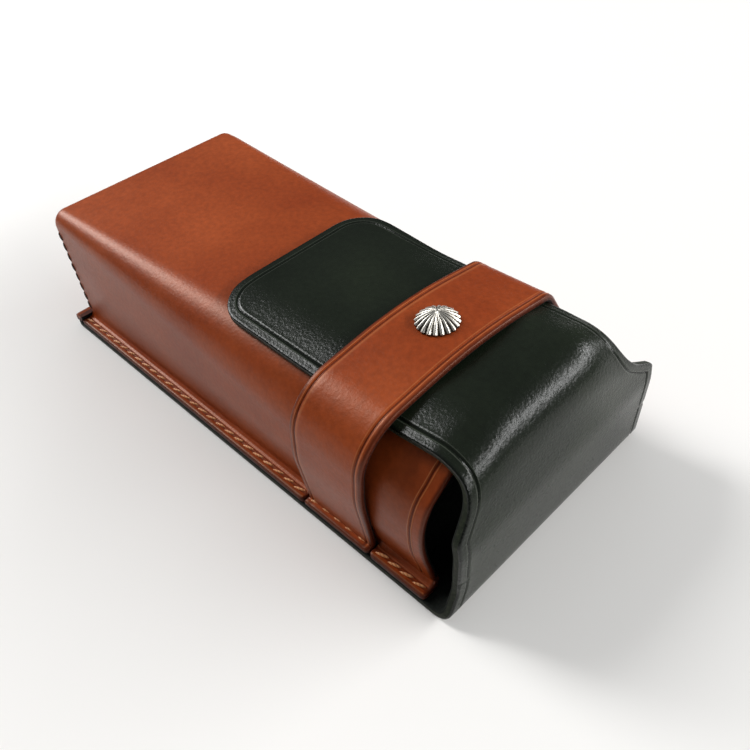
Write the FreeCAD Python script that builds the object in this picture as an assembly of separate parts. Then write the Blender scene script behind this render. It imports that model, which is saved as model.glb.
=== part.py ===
import FreeCAD
import Part
import math
import os

# Hand-stitched leather case for glasses, in millimetres.
# +X runs along the case towards its open mouth, +Y towards the back side wall, +Z up.
# The case stands on its back panel at Z = 0, with the origin at the centre of its box.
#
# A brown shell (top, two side walls, end wall and a narrow sewn flange) is stitched to a
# green back panel. Past the mouth the green leather turns up as the closing flap, folds
# over the top and ends in a tongue that is tucked under a fixed brown strap.

Vector = FreeCAD.Vector

# ---- Leather -------------------------------------------------------------------------
shell_thickness = 2.0
back_thickness = 2.5
strap_thickness = 2.0
divider_thickness = 1.5

# ---- Brown shell ---------------------------------------------------------------------
case_length = 171.0        # far end wall to the corners of the mouth
case_width = 75.0          # over the two side walls
case_height = 47.0         # resting surface to the shell's top at its closed end
flange_width = 4.4         # sewn edge that stands out from the walls
flange_fold_radius = 1.6   # inside corner between a wall and its flange
flange_corner_radius = 2.5
flange_cut_radius = 1.2    # corners where the flange is cut for the strap and the slit
far_edge_radius = 5.0      # long top edges, where the end wall holds them sharp
mouth_edge_radius = 20.0   # long top edges at the mouth, where nothing holds them
mouth_lean = 4.0           # how far the top has slid towards the front at the mouth
mouth_drop = 1.5           # and how far it has sunk there
least_inner_radius = 0.5
relaxing_steps = 12        # lengths in which the shell relaxes towards the mouth
end_land = 6.0             # length beside the end wall before it starts to
end_fold_radius = 2.0
mouth_dip = 2.5            # hollow of the side walls' front edge
mouth_dip_height = 20.0
corner_slit = 0.5          # cut between the end flange and the side flanges
corner_groove_width = 0.5  # line where the end wall's side edge meets the side wall
corner_groove_depth = 0.6
corner_bearing = 225.0     # degrees from +X towards +Y: straight out of the front far corner
divider_height = 23.0      # underside of the shelf that parts the two compartments
divider_setback = 9.0      # how far the shelf stops short of the mouth

# ---- Green flap ----------------------------------------------------------------------
flap_gap = 4.5             # mouth to the inside of the flap's end panel
bottom_fold_radius = 6.0   # outside of the bend at the resting surface
top_fold_radius = 12.0     # outside of the bend over the top
panel_bow = 1.6            # how far the end panel bows outwards
panel_bow_radius = 45.0
flap_rest_gap = 0.3        # between the shell's top and the tongue lying on it
crest_rise = 2.0           # how far the flap climbs over the mouth's top edge
crest_run = 3.0            # strap's front edge to the start of that climb
crest_radius = 30.0
hip_step = 1.5             # the end panel's lower part stands past the side walls
foot_rise = 3.0            # at the front the end panel keeps the flange's width up to here
hip_rise = 12.0            # and has drawn in to the hips by here
back_foot_rise = 0.5       # at the back it draws in sooner
back_hip_rise = 5.0
hip_drop = 18.0            # shell's top down to the end of the hips
neck_drop = 1.5            # shell's top down to the neck, where the tongue starts
hip_radius = 3.5
neck_radius = 10.0
tongue_width = 57.0        # the tongue lies midway on the top, as far as that has slid
tongue_showing = 41.5      # tongue past the strap
tongue_corner_radius = 11.0

# ---- Strap ---------------------------------------------------------------------------
strap_width = 25.0
strap_setback = 18.5       # strap's front edge to the mouth
strap_wall_gap = 0.3       # between the strap's foot and the side wall
strap_bow = 1.0            # how far the strap bows out at its sides
strap_bow_height = 27.0
strap_top_gap = 1.4        # room between the tongue and the strap
strap_edge_gap = 0.4       # between the strap's corners and the tongue's edges
strap_bow_radius = 45.0
strap_foot_radius = 1.2
strap_foot_gap = 0.5       # between the strap's foot and the cut in the flange

# ---- Concho and its screw ------------------------------------------------------------
concho_radius = 6.0
concho_height = 3.6
concho_flutes = 20
concho_flute_depth = 0.45
concho_rim_height = 0.6
concho_button_radius = 0.85
concho_ring_shares = (1.0, 0.86, 0.62, 0.34, 0.12)   # rings from the rim to the crown
post_radius = 1.5
post_fit = 0.05
socket_depth = 1.8         # hole in the dome's underside that holds the post
screw_head_radius = 3.6
screw_head_thickness = 0.9
screw_slot_width = 0.8
screw_slot_depth = 0.4

# ---- Hand stitching ------------------------------------------------------------------
stitch_pitch = 4.65
stitch_length = 3.5
stitch_width = 0.8
stitch_height = 0.5
stitch_inset = 2.0         # seam line to the flange's outer edge
groove_width = 1.4
groove_depth = 0.7
corner_stitch_pitch = 4.2
corner_stitch_inset = 2.4  # corner seam's stitches to the end of the case
corner_stitch_clear = 1.0  # stitch-free ends of the corner seam

# ---- Worked-out places ---------------------------------------------------------------
half_width = case_width / 2
flange_half = half_width + flange_width
flange_bottom = back_thickness
flange_top = flange_bottom + shell_thickness
flange_fold_top = flange_top + flange_fold_radius
seam_y = flange_half - stitch_inset

tongue_under_z = case_height + flap_rest_gap
tongue_mid_z = tongue_under_z + back_thickness / 2
tongue_top_z = tongue_under_z + back_thickness
bow_height = (tongue_mid_z + crest_rise + back_thickness / 2) / 2
bow_half_rise = bow_height - back_thickness / 2
bow_slope = math.atan2(panel_bow, bow_half_rise)
bow_reach = panel_bow - panel_bow_radius * (1 / math.cos(bow_slope) - 1)

panel_inner_reach = flap_gap + back_thickness
overall_length = flange_width + case_length + panel_inner_reach + bow_reach
far_x = -overall_length / 2 + flange_width
mouth_x = far_x + case_length
land_x = far_x + end_land
panel_outer_x = mouth_x + panel_inner_reach
panel_mid_x = panel_outer_x - back_thickness / 2
bottom_fold_start_x = panel_outer_x - bottom_fold_radius
bottom_fold_mid_radius = bottom_fold_radius - back_thickness / 2
top_fold_mid_radius = top_fold_radius - back_thickness / 2
crest_mid_z = tongue_mid_z + crest_rise
top_fold_start_z = crest_mid_z - top_fold_mid_radius

strap_front_x = mouth_x - strap_setback
strap_far_x = strap_front_x - strap_width
strap_mid_x = strap_front_x - strap_width / 2
strap_under_z = tongue_top_z + strap_top_gap
strap_top_z = strap_under_z + strap_thickness

tongue_tip_x = strap_far_x - tongue_showing
tongue_mid_y = -mouth_lean
tongue_front_y = tongue_mid_y - tongue_width / 2
tongue_back_y = tongue_mid_y + tongue_width / 2
beyond = 10.0              # how far a cutting tool runs past what it cuts
tiny = 1e-6                # shortest length that counts as an edge


# ---- Helpers -------------------------------------------------------------------------
def in_xz(u, v):
    return Vector(u, 0, v)


def in_yz(u, v):
    return Vector(0, u, v)


def in_xy(u, v):
    return Vector(u, v, 0)


def box(low, high):
    """A box between two opposite corners."""
    solid = Part.makeBox(high[0] - low[0], high[1] - low[1], high[2] - low[2])
    solid.translate(Vector(*low))
    return solid


def turn_at(before, corner, after):
    """Signed angle by which a route turns left at a corner."""
    first = math.atan2(corner[1] - before[1], corner[0] - before[0])
    second = math.atan2(after[1] - corner[1], after[0] - corner[0])
    return (second - first + math.pi) % (2 * math.pi) - math.pi


def offset_route(points, radii, distance):
    """The same route, moved to its left by a distance, with its bends fitted to match."""
    moved = []
    new_radii = []
    last = len(points) - 1
    for index, point in enumerate(points):
        before = points[index - 1] if index else None
        after = points[index + 1] if index < last else None
        here = before or point
        there = point if before else after
        heading = math.atan2(there[1] - here[1], there[0] - here[0])
        turn = turn_at(before, point, after) if before and after else 0.0
        normal = heading + turn / 2 + math.pi / 2
        reach = distance / math.cos(turn / 2)
        moved.append((point[0] + reach * math.cos(normal), point[1] + reach * math.sin(normal)))
        if before and after:
            radius = radii[index - 1]
            bend = radius - math.copysign(1.0, turn) * distance
            new_radii.append(bend if radius else 0.0)
    return moved, new_radii


def route_edges(points, radii, place):
    """Straight runs joined by tangent arcs."""
    edges = []
    start = points[0]
    for index in range(1, len(points) - 1):
        before, corner, after = points[index - 1], points[index], points[index + 1]
        turn = turn_at(before, corner, after)
        radius = radii[index - 1]
        cut = radius * math.tan(abs(turn) / 2)
        into = math.atan2(corner[1] - before[1], corner[0] - before[0])
        out = into + turn
        arc_start = (corner[0] - cut * math.cos(into), corner[1] - cut * math.sin(into))
        arc_end = (corner[0] + cut * math.cos(out), corner[1] + cut * math.sin(out))
        side = into + math.copysign(math.pi / 2, turn)
        centre = (arc_start[0] + radius * math.cos(side), arc_start[1] + radius * math.sin(side))
        halfway = side + math.pi + turn / 2
        arc_mid = (centre[0] + radius * math.cos(halfway), centre[1] + radius * math.sin(halfway))
        if math.dist(start, arc_start) > tiny:
            edges.append(Part.makeLine(place(*start), place(*arc_start)))
        if radius > tiny and abs(turn) > tiny:
            edges.append(Part.Arc(place(*arc_start), place(*arc_mid), place(*arc_end)).toShape())
        start = arc_end
    if math.dist(start, points[-1]) > tiny:
        edges.append(Part.makeLine(place(*start), place(*points[-1])))
    return edges


def closed_face(points, radii, place):
    """A face inside a closed outline whose corners are rounded by radii."""
    middle = tuple((a + b) / 2 for a, b in zip(points[-1], points[0]))
    edges = route_edges([middle] + points + [middle], radii, place)
    return Part.Face(Part.Wire(Part.__sortEdges__(edges)))


def band(points, radii, thickness, place, start, depth):
    """A strip of leather: a bent route of even thickness, drawn out to its width."""
    left_points, left_radii = offset_route(points, radii, thickness / 2)
    right_points, right_radii = offset_route(points, radii, -thickness / 2)
    edges = route_edges(left_points, left_radii, place)
    edges.append(Part.makeLine(place(*left_points[-1]), place(*right_points[-1])))
    edges += route_edges(right_points, right_radii, place)
    edges.append(Part.makeLine(place(*right_points[0]), place(*left_points[0])))
    face = Part.Face(Part.Wire(Part.__sortEdges__(edges)))
    face.translate(start)
    return face.extrude(depth)


def mirrored(shape):
    """The same piece on the back side of the case."""
    return shape.mirror(Vector(0, 0, 0), Vector(0, 1, 0))


# ---- Brown shell ---------------------------------------------------------------------
def loosened(x):
    """How far the shell has relaxed: nothing beside the end wall, one at the mouth."""
    return max(0.0, (x - land_x) / (mouth_x - land_x))


def lean_at(x, z):
    """How far a wall has leaned towards the front at a height above the flange's fold."""
    rise = max(0.0, z - flange_fold_top)
    return loosened(x) * mouth_lean * rise / (case_height - mouth_drop - flange_fold_top)


def shell_section(x, bottom, inset):
    """Cross-section across the case: leaning walls and rounded top edges."""
    half = half_width - inset
    top = case_height - inset - loosened(x) * mouth_drop
    grown = far_edge_radius + loosened(x) * (mouth_edge_radius - far_edge_radius)
    radius = max(grown - inset, least_inner_radius)
    lean = lean_at(x, top)
    points = [
        (-half, bottom),
        (half, bottom),
        (half, flange_fold_top),
        (half - lean, top),
        (-half - lean, top),
        (-half, flange_fold_top),
    ]
    wire = closed_face(points, [0.0, 0.0, 0.0, radius, radius, 0.0], in_yz).OuterWire
    wire.translate(Vector(x, 0, 0))
    return wire


def relaxed_tunnel(x_from, x_to, bottom, inset):
    """Body that is square beside the end wall and relaxes evenly towards the mouth."""
    grow = x_to - land_x
    places = [land_x + grow * step / relaxing_steps for step in range(relaxing_steps + 1)]
    relaxing = Part.makeLoft([shell_section(x, bottom, inset) for x in places], True, True)
    land = Part.Face(shell_section(x_from, bottom, inset)).extrude(Vector(land_x - x_from, 0, 0))
    return relaxing.fuse(land).removeSplitter()


def hollow():
    """Space inside the shell, open at the mouth and below."""
    inner_far_x = far_x + shell_thickness
    return relaxed_tunnel(inner_far_x, mouth_x + beyond, flange_bottom - beyond, shell_thickness)


def side_flange(x_from, x_to):
    """Sewn edge along a side wall, with the small fold where the wall turns out."""
    inner = half_width - shell_thickness / 2
    points = [
        (-flange_half, flange_bottom),
        (-inner, flange_bottom),
        (-inner, flange_fold_top),
        (-half_width, flange_fold_top),
        (-half_width, flange_top),
        (-flange_half, flange_top),
    ]
    radii = [0.0, 0.0, 0.0, 0.0, flange_fold_radius, 0.0]
    strip = closed_face(points, radii, in_yz)
    strip.translate(Vector(x_from, 0, 0))
    strip = strip.extrude(Vector(x_to - x_from, 0, 0))
    return strip.common(flange_outline(x_from, x_to))


def flange_outline(x_from, x_to):
    """Outline seen from above, with the two outer corners cut round."""
    points = [(x_from, -flange_half), (x_to, -flange_half), (x_to, 0), (x_from, 0)]
    radii = [flange_cut_radius, flange_cut_radius, 0.0, 0.0]
    return closed_face(points, radii, in_xy).extrude(Vector(0, 0, case_height))


def end_flange():
    """Sewn edge along the end wall."""
    inner_x = far_x + shell_thickness / 2
    outer_x = far_x - flange_width
    points = [
        (outer_x, flange_bottom),
        (inner_x, flange_bottom),
        (inner_x, flange_fold_top),
        (far_x, flange_fold_top),
        (far_x, flange_top),
        (outer_x, flange_top),
    ]
    radii = [0.0, 0.0, 0.0, 0.0, flange_fold_radius, 0.0]
    strip = closed_face(points, radii, in_xz)
    strip.translate(Vector(0, -flange_half, 0))
    strip = strip.extrude(Vector(0, 2 * flange_half, 0))
    corner = box((far_x, -flange_half, 0), (far_x + beyond, -half_width, case_height))
    return strip.cut(corner).cut(mirrored(corner))


def side_flange_spans():
    """The two runs of a side flange, parted where the strap is sewn in."""
    far_run = (far_x + corner_slit, strap_far_x - strap_foot_gap)
    mouth_run = (strap_front_x + strap_foot_gap, mouth_x)
    return [far_run, mouth_run]


def mouth_cut(half):
    """Tool that hollows the front edge of the side walls."""
    rise = max(case_height - mouth_dip_height, mouth_dip_height)
    radius = (rise ** 2 + mouth_dip ** 2) / (2 * mouth_dip)
    centre = Vector(mouth_x - mouth_dip + radius, -half - beyond, mouth_dip_height)
    return Part.makeCylinder(radius, 2 * (half + beyond), centre, Vector(0, 1, 0))


def corner_groove():
    """Fine upright line where the end wall's side edge is sewn to the front side wall."""
    rise = case_height - far_edge_radius - flange_fold_top
    middle = Vector(far_x + end_fold_radius, -half_width + end_fold_radius, flange_fold_top)
    blade = Part.makeBox(end_fold_radius + beyond, corner_groove_width, rise)
    blade.translate(Vector(end_fold_radius - corner_groove_depth, -corner_groove_width / 2, 0))
    blade.rotate(Vector(0, 0, 0), Vector(0, 0, 1), corner_bearing)
    blade.translate(middle)
    return blade


def body_shell():
    outer = relaxed_tunnel(far_x, mouth_x, flange_bottom, 0.0)
    end_edges = []
    for edge in outer.Edges:
        at_end = max(abs(vertex.X - far_x) for vertex in edge.Vertexes) < tiny
        if at_end and edge.CenterOfMass.z > flange_bottom + tiny:
            end_edges.append(edge)
    outer = outer.makeFillet(end_fold_radius, end_edges)
    walls = outer.cut(hollow()).cut(mouth_cut(flange_half))
    walls = walls.cut(corner_groove()).cut(mirrored(corner_groove()))
    strips = [end_flange()]
    for x_from, x_to in side_flange_spans():
        front = side_flange(x_from, x_to)
        strips += [front, mirrored(front)]
    return walls.fuse(strips).removeSplitter()


# ---- Green leather: back panel and flap -------------------------------------------------
def flap_route():
    """Middle of the green leather, from under the mouth round to the tongue's tip."""
    points = [
        (bottom_fold_start_x, back_thickness / 2),
        (panel_mid_x, back_thickness / 2),
        (panel_mid_x + panel_bow, bow_height),
        (panel_mid_x, crest_mid_z),
        (strap_front_x + crest_run, tongue_mid_z),
        (tongue_tip_x, tongue_mid_z),
    ]
    radii = [bottom_fold_mid_radius, panel_bow_radius, top_fold_mid_radius, crest_radius]
    return points, radii


def flap_sheet():
    """The whole flap at full width."""
    points, radii = flap_route()
    start = Vector(0, -flange_half, 0)
    return band(points, radii, back_thickness, in_xz, start, Vector(0, 2 * flange_half, 0))


def flap_side(side, tongue_y, foot_top, hip_bottom):
    """One side edge of the end panel, from the table up to the tongue."""
    points = [
        (side * flange_half, -beyond),
        (side * flange_half, foot_top),
        (side * (half_width + hip_step), hip_bottom),
        (side * (half_width + hip_step), case_height - hip_drop),
        (tongue_y, case_height - neck_drop),
        (tongue_y, case_height + 2 * beyond),
    ]
    return points, [0.0, hip_radius, hip_radius, hip_radius, neck_radius, 0.0]


def flap_front_outline():
    """Outline of the end panel seen from in front: wide below, narrow above."""
    front, front_radii = flap_side(-1, tongue_front_y, foot_rise, hip_rise)
    back, back_radii = flap_side(1, tongue_back_y, back_foot_rise, back_hip_rise)
    face = closed_face(front + back[::-1], front_radii + back_radii[::-1], in_yz)
    face.translate(Vector(mouth_x, 0, 0))
    return face.extrude(Vector(overall_length, 0, 0))


def tongue_outline():
    """Outline of the tongue seen from above, with its rounded tip."""
    points = [
        (tongue_tip_x, tongue_front_y),
        (panel_outer_x + beyond, tongue_front_y),
        (panel_outer_x + beyond, tongue_back_y),
        (tongue_tip_x, tongue_back_y),
    ]
    radii = [tongue_corner_radius, 0.0, 0.0, tongue_corner_radius]
    return closed_face(points, radii, in_xy).extrude(Vector(0, 0, case_height + 2 * beyond))


def flap_slice(bottom, top):
    """Part of the flap between two heights, in front of the back panel's end."""
    wide = flange_half + beyond
    low = (bottom_fold_start_x, -wide, bottom)
    high = (panel_outer_x + beyond, wide, top)
    return flap_sheet().common(box(low, high)).common(flap_front_outline())


def flap_bottom_bend():
    return flap_slice(-beyond, bottom_fold_radius)


def flap_end_panel():
    return flap_slice(bottom_fold_radius, top_fold_start_z)


def flap_tongue():
    fold = flap_slice(top_fold_start_z, case_height + beyond)
    lying = flap_sheet().common(tongue_outline())
    reach = box(
        (tongue_tip_x, -flange_half, top_fold_start_z),
        (bottom_fold_start_x, flange_half, case_height + beyond),
    )
    return fold.fuse(lying.common(reach)).removeSplitter()


def back_panel():
    points = [
        (far_x - flange_width, -flange_half),
        (bottom_fold_start_x, -flange_half),
        (bottom_fold_start_x, flange_half),
        (far_x - flange_width, flange_half),
    ]
    radii = [flange_corner_radius, 0.0, 0.0, flange_corner_radius]
    panel = closed_face(points, radii, in_xy).extrude(Vector(0, 0, back_thickness))
    return panel.cut(seam_grooves())


def seam_grooves():
    """Shallow grooves that keep the stitches on the underside off the table."""
    run = box(
        (far_x + corner_slit, -seam_y - groove_width / 2, -beyond),
        (mouth_x - corner_slit, -seam_y + groove_width / 2, groove_depth),
    )
    seam_x = far_x - flange_width + stitch_inset
    end = box(
        (seam_x - groove_width / 2, -half_width, -beyond),
        (seam_x + groove_width / 2, half_width, groove_depth),
    )
    return run.fuse([mirrored(run), end])


# ---- Divider ---------------------------------------------------------------------------
def compartment_divider():
    """Leather shelf that keeps two pairs of glasses apart."""
    half = half_width - shell_thickness
    far = far_x + shell_thickness
    mouth = mouth_x - divider_setback
    front_lean = lean_at(mouth, divider_height)
    back_lean = lean_at(mouth, divider_height + divider_thickness)
    points = [
        (far, -half),
        (land_x, -half),
        (mouth, -half - front_lean),
        (mouth, half - back_lean),
        (land_x, half),
        (far, half),
    ]
    radii = [0.0, 0.0, tongue_corner_radius, tongue_corner_radius, 0.0, 0.0]
    shelf = closed_face(points, radii, in_xy)
    shelf.translate(Vector(0, 0, divider_height))
    return shelf.extrude(Vector(0, 0, divider_thickness)).common(hollow())


# ---- Strap -----------------------------------------------------------------------------
def strap_corner_radius(sideways, lean):
    """Roundest corner, along the strap's middle, that clears the tongue's edge below it."""
    upwards = strap_top_gap + strap_thickness / 2
    clear = strap_edge_gap + strap_thickness / 2
    reach = math.tan((math.pi / 2 - lean) / 2)
    total = reach * sideways + upwards - clear
    product = sideways ** 2 + upwards ** 2 - clear ** 2
    return (total + math.sqrt(max(total ** 2 - reach ** 2 * product, 0.0))) / reach ** 2


def strap_side(side, lean_x, tongue_y):
    """Middle of the strap on one side: foot, bowed wall and top corner, with their bends."""
    foot_z = back_thickness + strap_thickness / 2
    corner_z = strap_top_z - strap_thickness / 2
    wall_y = side * (half_width + strap_wall_gap + strap_thickness / 2)
    bow_y = wall_y + side * strap_bow - lean_at(lean_x, strap_bow_height)
    corner_y = wall_y - lean_at(lean_x, corner_z)
    lean = math.atan2(abs(bow_y) - abs(corner_y), corner_z - strap_bow_height)
    points = [(side * flange_half, foot_z), (wall_y, foot_z), (bow_y, strap_bow_height), (corner_y, corner_z)]
    corner_radius = strap_corner_radius(abs(corner_y - tongue_y), lean)
    return points, [strap_foot_radius, strap_bow_radius, corner_radius]


def strap_route():
    """Middle of the strap, from one foot over the case to the other."""
    front, front_radii = strap_side(-1, strap_front_x, tongue_front_y)
    back, back_radii = strap_side(1, strap_far_x, tongue_back_y)
    return front + back[::-1], front_radii + back_radii[::-1]


def strap_band():
    points, radii = strap_route()
    start = Vector(strap_far_x, 0, 0)
    return band(points, radii, strap_thickness, in_yz, start, Vector(strap_width, 0, 0))


def strap():
    below = Vector(strap_mid_x, tongue_mid_y, strap_under_z - strap_thickness)
    bore = Part.makeCylinder(post_radius + post_fit, beyond, below)
    foot_corners = flange_outline(strap_far_x, strap_front_x)
    keep = foot_corners.fuse(mirrored(foot_corners))
    tall = box(
        (strap_far_x, -2 * flange_half, flange_top + strap_thickness),
        (strap_front_x, 2 * flange_half, case_height + 2 * beyond),
    )
    return strap_band().common(keep.fuse(tall)).cut(bore)


# ---- Concho ----------------------------------------------------------------------------
def fluted_ring(radius, depth, z):
    """Ring whose line runs out to a ridge and back to a valley once for every flute."""
    half_step = math.pi / concho_flutes
    corners = []
    for index in range(2 * concho_flutes):
        reach = radius if index % 2 else radius - depth
        angle = index * half_step
        corners.append(Vector(reach * math.cos(angle), reach * math.sin(angle), z))
    return Part.makePolygon(corners + corners[:1])


def concho_cap():
    """Fluted dome: ridged rings that shrink as they rise over a quarter ellipse."""
    rings = [fluted_ring(concho_radius, concho_flute_depth, 0)]
    for share in concho_ring_shares:
        rise = (concho_height - concho_rim_height) * math.sqrt(1 - share ** 2)
        depth = concho_flute_depth * share
        rings.append(fluted_ring(concho_radius * share, depth, concho_rim_height + rise))
    dome = Part.makeLoft(rings, True, True)
    button = Part.makeSphere(concho_button_radius)
    button.translate(Vector(0, 0, concho_height))
    socket = Part.makeCylinder(post_radius + post_fit, socket_depth)
    cap = dome.fuse(button).cut(socket)
    cap.translate(Vector(strap_mid_x, tongue_mid_y, strap_top_z))
    return cap


def concho_screw():
    """Screw from behind the strap: slotted head and the post that holds the dome."""
    head = Part.makeCylinder(screw_head_radius, screw_head_thickness)
    slot = box(
        (-screw_head_radius - beyond, -screw_slot_width / 2, -beyond),
        (screw_head_radius + beyond, screw_slot_width / 2, screw_slot_depth),
    )
    post_length = screw_head_thickness + strap_thickness + socket_depth - 2 * post_fit
    post = Part.makeCylinder(post_radius, post_length)
    screw = head.cut(slot).fuse(post.cut(slot))
    screw.translate(Vector(strap_mid_x, tongue_mid_y, strap_under_z - screw_head_thickness))
    return screw


# ---- Hand stitching --------------------------------------------------------------------
def stitch():
    """One stitch along X that rises along Y to a narrower crown, like pulled waxed thread."""
    half = stitch_length / 2
    wide = stitch_width / 2
    crown_half = half - stitch_height
    crown_wide = wide / 2
    base = (-half, 0, -wide, -crown_wide, -crown_half)
    crown = (half, stitch_height, wide, crown_wide, crown_half)
    return Part.makeWedge(*base, *crown)


def spread(start, end, pitch):
    """Middles of the stitches that fill a run, evenly spaced at about the pitch."""
    count = max(1, round((end - start) / pitch))
    step = (end - start) / count
    return [start + (index + 0.5) * step for index in range(count)]


def placed_stitch(place, along, out):
    """A stitch with its length along one direction and its crown facing another."""
    across = along.cross(out)
    matrix = FreeCAD.Matrix(
        along.x, out.x, across.x, place.x,
        along.y, out.y, across.y, place.y,
        along.z, out.z, across.z, place.z,
        0, 0, 0, 1,
    )
    piece = stitch()
    piece.transformShape(matrix)
    return piece


def side_seam_stitches():
    """Stitches of the front side seam, above the flange and under the back panel."""
    along = Vector(1, 0, 0)
    up = Vector(0, 0, 1)
    down = Vector(0, 0, -1)
    pieces = []
    for x_from, x_to in side_flange_spans():
        for x in spread(x_from + stitch_inset / 2, x_to - stitch_inset / 2, stitch_pitch):
            pieces.append(placed_stitch(Vector(x, -seam_y, flange_top), along, up))
            pieces.append(placed_stitch(Vector(x, -seam_y, groove_depth), along, down))
    return pieces


def end_seam_stitches():
    along = Vector(0, 1, 0)
    seam_x = far_x - flange_width + stitch_inset
    reach = half_width - stitch_inset / 2
    pieces = []
    for y in spread(-reach, reach, stitch_pitch):
        pieces.append(placed_stitch(Vector(seam_x, y, flange_top), along, Vector(0, 0, 1)))
        pieces.append(placed_stitch(Vector(seam_x, y, groove_depth), along, Vector(0, 0, -1)))
    return pieces


def corner_stitches():
    """Upright box seam that closes the front far corner, seen on both walls."""
    bottom = flange_fold_top + corner_stitch_clear
    top = case_height - far_edge_radius - corner_stitch_clear
    up = Vector(0, 0, 1)
    pieces = []
    for z in spread(bottom, top, corner_stitch_pitch):
        on_side = Vector(far_x + corner_stitch_inset, -half_width, z)
        on_end = Vector(far_x, -half_width + corner_stitch_inset, z)
        pieces.append(placed_stitch(on_side, up, Vector(0, -1, 0)))
        pieces.append(placed_stitch(on_end, up, Vector(-1, 0, 0)))
    return pieces


def strap_stitches():
    """Stitches that hold the strap's front foot."""
    along = Vector(1, 0, 0)
    foot_top = back_thickness + strap_thickness
    foot_y = (half_width + strap_wall_gap + strap_thickness + flange_half) / 2
    pieces = []
    for x in spread(strap_far_x + stitch_inset / 2, strap_front_x - stitch_inset / 2, stitch_pitch):
        pieces.append(placed_stitch(Vector(x, -foot_y, foot_top), along, Vector(0, 0, 1)))
        pieces.append(placed_stitch(Vector(x, -seam_y, groove_depth), along, Vector(0, 0, -1)))
    return pieces


def group(pieces):
    return Part.makeCompound(pieces)


# ---- Nodes -----------------------------------------------------------------------------
def all_nodes():
    front_seam = group(side_seam_stitches())
    front_corner = group(corner_stitches())
    front_foot = group(strap_stitches())
    return {
        "body_shell": body_shell(),
        "back_panel": back_panel(),
        "flap_bottom_bend": flap_bottom_bend(),
        "flap_end_panel": flap_end_panel(),
        "flap_tongue": flap_tongue(),
        "compartment_divider": compartment_divider(),
        "strap": strap(),
        "concho_cap": concho_cap(),
        "concho_screw": concho_screw(),
        "seam_thread_front": front_seam,
        "seam_thread_back": mirrored(front_seam),
        "seam_thread_end": group(end_seam_stitches()),
        "corner_thread_front": front_corner,
        "corner_thread_back": mirrored(front_corner),
        "strap_thread_front": front_foot,
        "strap_thread_back": mirrored(front_foot),
    }


def main():
    os.makedirs("parts", exist_ok=True)
    for name, shape in all_nodes().items():
        bounds = shape.BoundBox
        size = (bounds.XLength, bounds.YLength, bounds.ZLength)
        print(name, len(shape.Solids), shape.isValid(), "%.1f x %.1f x %.1f" % size)
        shape.exportStep("parts/" + name + ".step")


main()
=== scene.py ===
# %% [markdown]
# # A hand-stitched leather case for glasses
# The case is cut from flat hides, folded, and sewn by hand: a rust-brown shell on a dark green
# back, whose end folds over the mouth as a flap and tucks its tongue under a brown strap.
# Every piece here is made the way a leather worker makes it: cut flat, then bent. The packed
# model gives every place, so the first cell loads it.

# %% Load the frame
import math

import bpy
import numpy as np
from mathutils import Matrix, Vector
from mathutils.geometry import delaunay_2d_cdt


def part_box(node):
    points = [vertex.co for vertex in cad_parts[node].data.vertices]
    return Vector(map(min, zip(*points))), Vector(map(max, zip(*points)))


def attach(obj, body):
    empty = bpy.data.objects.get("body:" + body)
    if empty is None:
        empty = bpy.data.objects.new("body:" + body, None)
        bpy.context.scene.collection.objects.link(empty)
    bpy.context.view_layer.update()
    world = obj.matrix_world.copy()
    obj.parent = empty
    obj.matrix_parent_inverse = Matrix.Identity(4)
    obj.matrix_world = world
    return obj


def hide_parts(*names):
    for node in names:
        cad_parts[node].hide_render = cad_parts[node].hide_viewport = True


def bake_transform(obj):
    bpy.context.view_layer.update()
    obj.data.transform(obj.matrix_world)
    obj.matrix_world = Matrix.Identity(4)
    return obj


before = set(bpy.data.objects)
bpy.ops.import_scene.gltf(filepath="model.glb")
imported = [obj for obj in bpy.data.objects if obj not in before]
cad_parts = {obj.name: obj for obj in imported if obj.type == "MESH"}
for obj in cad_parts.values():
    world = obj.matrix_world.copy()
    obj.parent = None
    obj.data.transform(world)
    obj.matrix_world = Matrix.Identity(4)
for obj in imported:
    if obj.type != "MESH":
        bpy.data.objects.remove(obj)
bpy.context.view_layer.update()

MM = 0.001
for spare in ("Cube", "Light", "Camera"):
    if spare in bpy.data.objects:
        bpy.data.objects.remove(bpy.data.objects[spare])
print("nodes:", ", ".join(sorted(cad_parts)))

# %% [markdown]
# The sizes below are in millimetres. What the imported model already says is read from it. Only
# what a box can't say, such as a fold's radius, is written here.

# %% Sizes read from the frame
def corners(node):
    """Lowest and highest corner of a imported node, in millimetres."""
    low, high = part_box(node)
    return low / MM, high / MM


leather = 2.0
green_leather = 2.5
flange_width = 4.4
shell_low, shell_high = corners("body_shell")
far_x = shell_low.x + flange_width
mouth_x = shell_high.x
flange_half = shell_high.y
half_width = flange_half - flange_width
case_top = shell_high.z
sole_top = green_leather
print("case: %.1f long, %.1f wide, %.1f high" % (mouth_x - far_x, 2 * half_width, case_top))

# %% [markdown]
# ## Camera
# A camera is set up first, so that every later piece can be judged from the same place. Its
# turn is built from three axes: the one that points back at the viewer, and two across it,
# which are then rolled a little because the case lies at a slant in the frame.

# %% Camera
camera_place = Vector((155.3, -110.5, 172.4)) * MM
camera_azimuth = math.radians(49.78)
camera_elevation = math.radians(42.85)
camera_roll = math.radians(-6.79)
camera_lens = 37.1


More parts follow.
